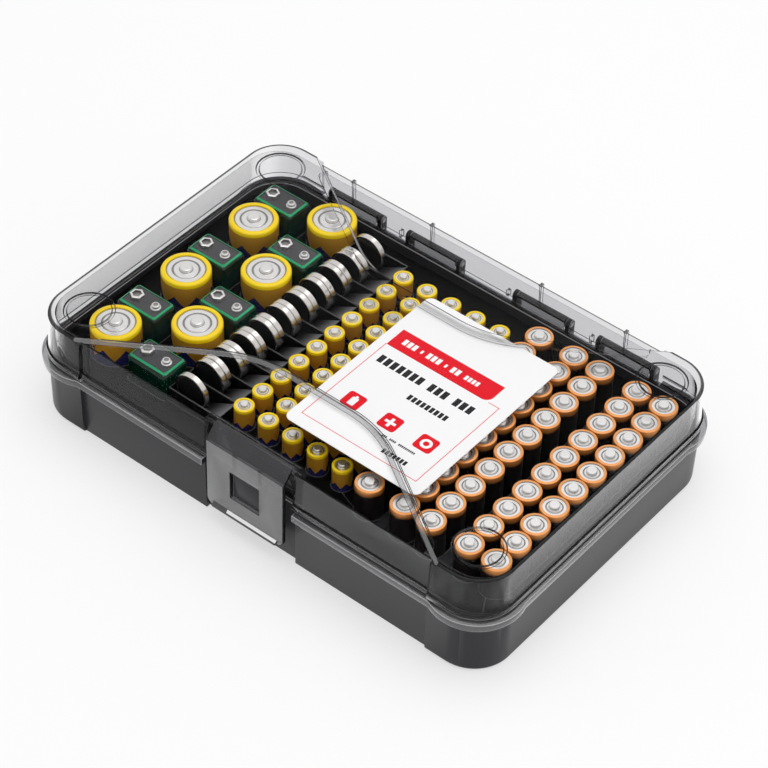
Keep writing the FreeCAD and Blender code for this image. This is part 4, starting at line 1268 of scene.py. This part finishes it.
# %% [markdown]
# ## Coins in the rack
# The coins stand on edge. The first and last slot hold one, and every slot between holds a pair, back to
# back. So there are two rows of ten, one looking to the back and one to the front. Each row is a copy of
# the coin, stood up and repeated at the pitch of the slots.

# %% Two rows of coins
COIN_PITCH = 13.3 * MM
COINS_IN_ROW = 10


def coin_row(piece, first_y, facing):
    """Stand a coin up and repeat it; facing is 1 where its crimped side looks to the back, else -1."""
    piece.rotation_euler = (math.radians(-90 * facing), 0, 0)
    piece.location = ((COIN_LOW.x + COIN_HIGH.x) / 2, first_y, COIN_LOW.z + COIN_RADIUS)
    pick(piece)
    bpy.ops.object.transform_apply(location=True, rotation=True, scale=True)
    bpy.ops.object.shade_smooth_by_angle(angle=EDGE_ANGLE)
    repeat(piece, COINS_IN_ROW, COIN_PITCH)
    return piece


front_row_start = COIN_LOW.y + COIN_THICK / 2 + (COINS_IN_ROW - 1) * COIN_PITCH
front_coins = coin_row(own_copy(coin), front_row_start, facing=-1)
rear_coins = coin_row(coin, COIN_HIGH.y - COIN_THICK / 2, facing=1)
join(front_coins, rear_coins)
settle(front_coins, "coins_in_rack", "case", "coin_steel", "coin_cells")

# %% [markdown]
# ## Marks for the printed card
# The card carries a red banner, lines of print and three red tiles. Print is flat, so it is drawn in the
# material: each mark is a box with rounded ends, and a point lies inside it where its distance is below
# nothing. The marks are plain bars and tiles and say nothing.

# %% Bars and words
CARD_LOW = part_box("label_card")[0]
card = Finish("printed_card")
card_point = card.point()
card_x, card_y, _ = card.split(card_point)
ACROSS = (card_x - CARD_LOW.x) / MM
ALONG = (card_y - CARD_LOW.y) / MM
LETTER_PITCH = 0.72
LETTER_WIDTH = 0.74


def bar(left, right, low, high, radius=0.0):
    """Where the point lies inside a box with rounded corners; measures in mm from the card's corner."""
    reach_x = abs(ACROSS - (left + right) / 2) - ((right - left) / 2 - radius)
    reach_y = abs(ALONG - (low + high) / 2) - ((high - low) / 2 - radius)
    if not radius:
        return reach_x.largest(reach_y).below(0.0)
    out_x = reach_x.largest(0.0)
    out_y = reach_y.largest(0.0)
    return (out_x * out_x + out_y * out_y).below(radius * radius)


def word(left, letters, low, high):
    """A word stands as a row of upright blocks, one to a letter, with the space between them bare."""
    pitch = (high - low) * LETTER_PITCH
    blocks = ((ACROSS - left) / pitch).math("FRACT").below(LETTER_WIDTH)
    return bar(left, left + letters * pitch, low, high).smallest(blocks)


print("card corner, mm:", [round(value / MM, 1) for value in CARD_LOW])

# %% [markdown]
# ## Red print
# The banner is a long bar, a short one that carries its upper half on to the right, and a piece that makes
# its lower right corner round. A thin red frame runs from the banner down the right side, along the foot and
# up the left, and three tiles stand in a row inside it.

# %% Banner, frame and tiles
TILE_LEFTS = (13.5, 36.5, 58.5)
TILE_WIDTH = 10.5
banner = together([bar(5.5, 64, 71.7, 85.3), bar(60, 69, 76.5, 85.3), bar(58, 69, 71.7, 85.3, 4.5)])
tiles = together([bar(left, left + TILE_WIDTH, 25, 35.5, 1.8) for left in TILE_LEFTS])
frame_line = together([
    bar(75.3, 75.7, 7.5, 72), bar(69, 75.7, 71.7, 72.1), bar(5, 75.7, 7.5, 7.9), bar(5, 5.4, 7.5, 72)])
red_marks = together([banner, tiles, frame_line])
print("red marks: a banner, a frame and", len(TILE_LEFTS), "tiles")

# %% [markdown]
# ## White and black print
# White blocks lie on the banner, and each tile bears a plain sign: an upright cell, a plus and a ring. The
# ring is a disc with a smaller disc taken away. Below the banner stand lines of black print in four sizes.

# %% Signs and words
upright_cell = together([bar(16.9, 20.6, 26.9, 32.6, 0.5), bar(18.0, 19.5, 32.2, 33.8)])
plus = together([bar(38.6, 44.9, 29.4, 31.1), bar(40.9, 42.6, 27.1, 33.4)])
coin_sign = bar(60.6, 66.9, 27.1, 33.4, 3.14) - bar(62.2, 65.3, 28.7, 31.8, 1.54)
white_marks = together([
    word(11, 3, 76.4, 80.6), word(22, 1, 77.2, 79.6), word(26, 3, 76.4, 80.6), word(37, 1, 77.2, 79.6),
    word(41, 2, 76.4, 80.6), word(49.5, 4, 76.8, 80.0), upright_cell, plus, coin_sign])
black_marks = together([
    word(9, 7, 59, 64.6), word(40.5, 3, 59, 64.6), word(56, 3, 59, 64.6), word(37, 9, 47.8, 51.6),
    word(44, 3, 20.6, 22.0), word(48.5, 4, 20.6, 22.0), word(54, 10, 20.6, 22.0), word(50.5, 7, 12.0, 15.0)])
print("white and black marks ready")

# %% [markdown]
# ## The card and the pins
# The card is uncoated white board, the only matt thing in the case. Its colour is blended coat by coat, as
# a printer lays down ink: paper, red, black, and then what is left white. The card and the four hinge pins
# have the right shape already, so they only change their finish.

# %% Finish of the card and the pins
RED = (0.80, 0.006, 0.018, 1)
INK = (0.016, 0.016, 0.018, 1)
PAPER = (0.97, 0.97, 0.97, 1)
PAPER_SHADE = (0.95, 0.95, 0.95, 1)

board = card.blend(card.noise(card_point, scale=600.0), PAPER, PAPER_SHADE)
printed = card.blend(red_marks, board, RED)
printed = card.blend(black_marks, printed, INK)
printed = card.blend(white_marks, printed, PAPER)
CARD_PRINT = card.surface(card.principled(Base_Color=printed, Roughness=0.55, Specular_IOR_Level=0.15))
NODES["label_card"].material_slots[0].material = CARD_PRINT
for number in range(1, 5):
    NODES[f"hinge_pin_{number}"].material_slots[0].material = PIN_WIRE
print("card printed, 4 pins finished")

# %% [markdown]
# ## Table and room
# The case stands on a white table in an even white room. A table that was only lit would turn grey towards
# the edges, so a share of it glows white to the camera and to what mirrors or shows it, while the rest
# keeps the shadow of the case. The world is white in the same way, and a little dimmer as a lamp.

# %% Table and room
TABLE_SIZE = 30.0
TABLE_GLOW = 0.55
ROOM_LIGHT = 0.66


def white_table():
    """Plain floor, which isn't part of the case."""
    deselect()
    bpy.ops.mesh.primitive_plane_add(size=TABLE_SIZE, location=(0, 0, 0))
    table = bpy.context.active_object
    table.name = "floor"
    finish = Finish("white_table")
    matt = finish.principled(Base_Color=shade(0.96), Roughness=0.9, Specular_IOR_Level=0.1)
    glow = finish.node("ShaderNodeEmission", {}, {"Color": shade(1.0), "Strength": 1.0})["Emission"]
    dress(table, [finish.surface(finish.cover(finish.shown() * TABLE_GLOW, matt, glow))])


def white_room():
    """World that looks white and lights a little less."""
    room = Finish("white_room", world=True)
    lamp = room.node("ShaderNodeBackground", {}, {"Color": shade(1.0), "Strength": ROOM_LIGHT})[0]
    seen = room.node("ShaderNodeBackground", {}, {"Color": shade(1.0), "Strength": 1.0})[0]
    bpy.context.scene.world = room.surface(room.cover(room.shown(), lamp, seen))


white_table()
white_room()
print("world:", bpy.context.scene.world.name)

# %% [markdown]
# ## Lamps
# One large soft lamp hangs almost overhead, and a small one stands to the right to give the front right
# corner a gleam. Both are square area lamps, because a softbox is square, and each is turned to its target.
# The Standard view shows a colour as it is written.

# %% Lamps
def soft_lamp(name, place, target, size, power):
    """Square area lamp that looks at its target; size in metres and power in watts."""
    deselect()
    bpy.ops.object.light_add(type="AREA", location=place)
    lamp = bpy.context.active_object
    lamp.name = name
    lamp.data.shape = "SQUARE"
    lamp.data.size = size
    lamp.data.energy = power
    lamp.rotation_euler = (Vector(target) - Vector(place)).to_track_quat("-Z", "Y").to_euler()
    print(f"{name}: {power} W")


soft_lamp("overhead_softbox", place=(0.10, 0.15, 1.5), target=(0, 0, 0), size=1.6, power=10.5)
soft_lamp("side_softbox", place=(1.3, 0.1, 0.7), target=(0, 0, 0.03), size=0.7, power=1.2)
bpy.context.scene.view_settings.view_transform = "Standard"

# %% [markdown]
# ## Camera
# A long lens looks down at the case from the front right. The camera is placed by its turn round the case,
# its height above the table and its distance, and is tilted about its own axis by two degrees. Its lens is
# given as the focal length in pixels of a frame 768 pixels wide. Light passes many clear sheets on its way to
# the cells, so the number of see-through surfaces that a ray may cross is raised.

# %% Camera
CAMERA_TURN = math.radians(37.77)
CAMERA_RISE = math.radians(44.11)
CAMERA_TILT = math.radians(2.14)
CAMERA_DISTANCE = 1396.05 * MM
CAMERA_TARGET = Vector((1.34, 8.26, 30.0)) * MM
FOCAL_PIXELS = 2787.8
FRAME_PIXELS = 768.0
SENSOR_WIDTH = 36.0
CLEAR_SHEETS = 32


def add_camera():
    """Camera that looks at its target along the line given by turn and rise."""
    back = Vector((math.sin(CAMERA_TURN) * math.cos(CAMERA_RISE),
                   -math.cos(CAMERA_TURN) * math.cos(CAMERA_RISE),
                   math.sin(CAMERA_RISE)))
    right = (-back).cross(Vector((0, 0, 1))).normalized()
    up = right.cross(-back)
    tilted_right = right * math.cos(CAMERA_TILT) + up * math.sin(CAMERA_TILT)
    tilted_up = up * math.cos(CAMERA_TILT) - right * math.sin(CAMERA_TILT)
    axes = Matrix((tilted_right, tilted_up, back)).transposed().to_4x4()
    data = bpy.data.cameras.new("camera")
    data.sensor_width = SENSOR_WIDTH
    data.lens = FOCAL_PIXELS * SENSOR_WIDTH / FRAME_PIXELS
    data.clip_end = 20.0
    camera = bpy.data.objects.new("camera", data)
    camera.matrix_world = Matrix.Translation(CAMERA_TARGET + back * CAMERA_DISTANCE) @ axes
    bpy.context.scene.collection.objects.link(camera)
    bpy.context.scene.camera = camera
    print("camera lens, mm:", round(data.lens, 1))


add_camera()
bpy.context.scene.cycles.transparent_max_bounces = CLEAR_SHEETS
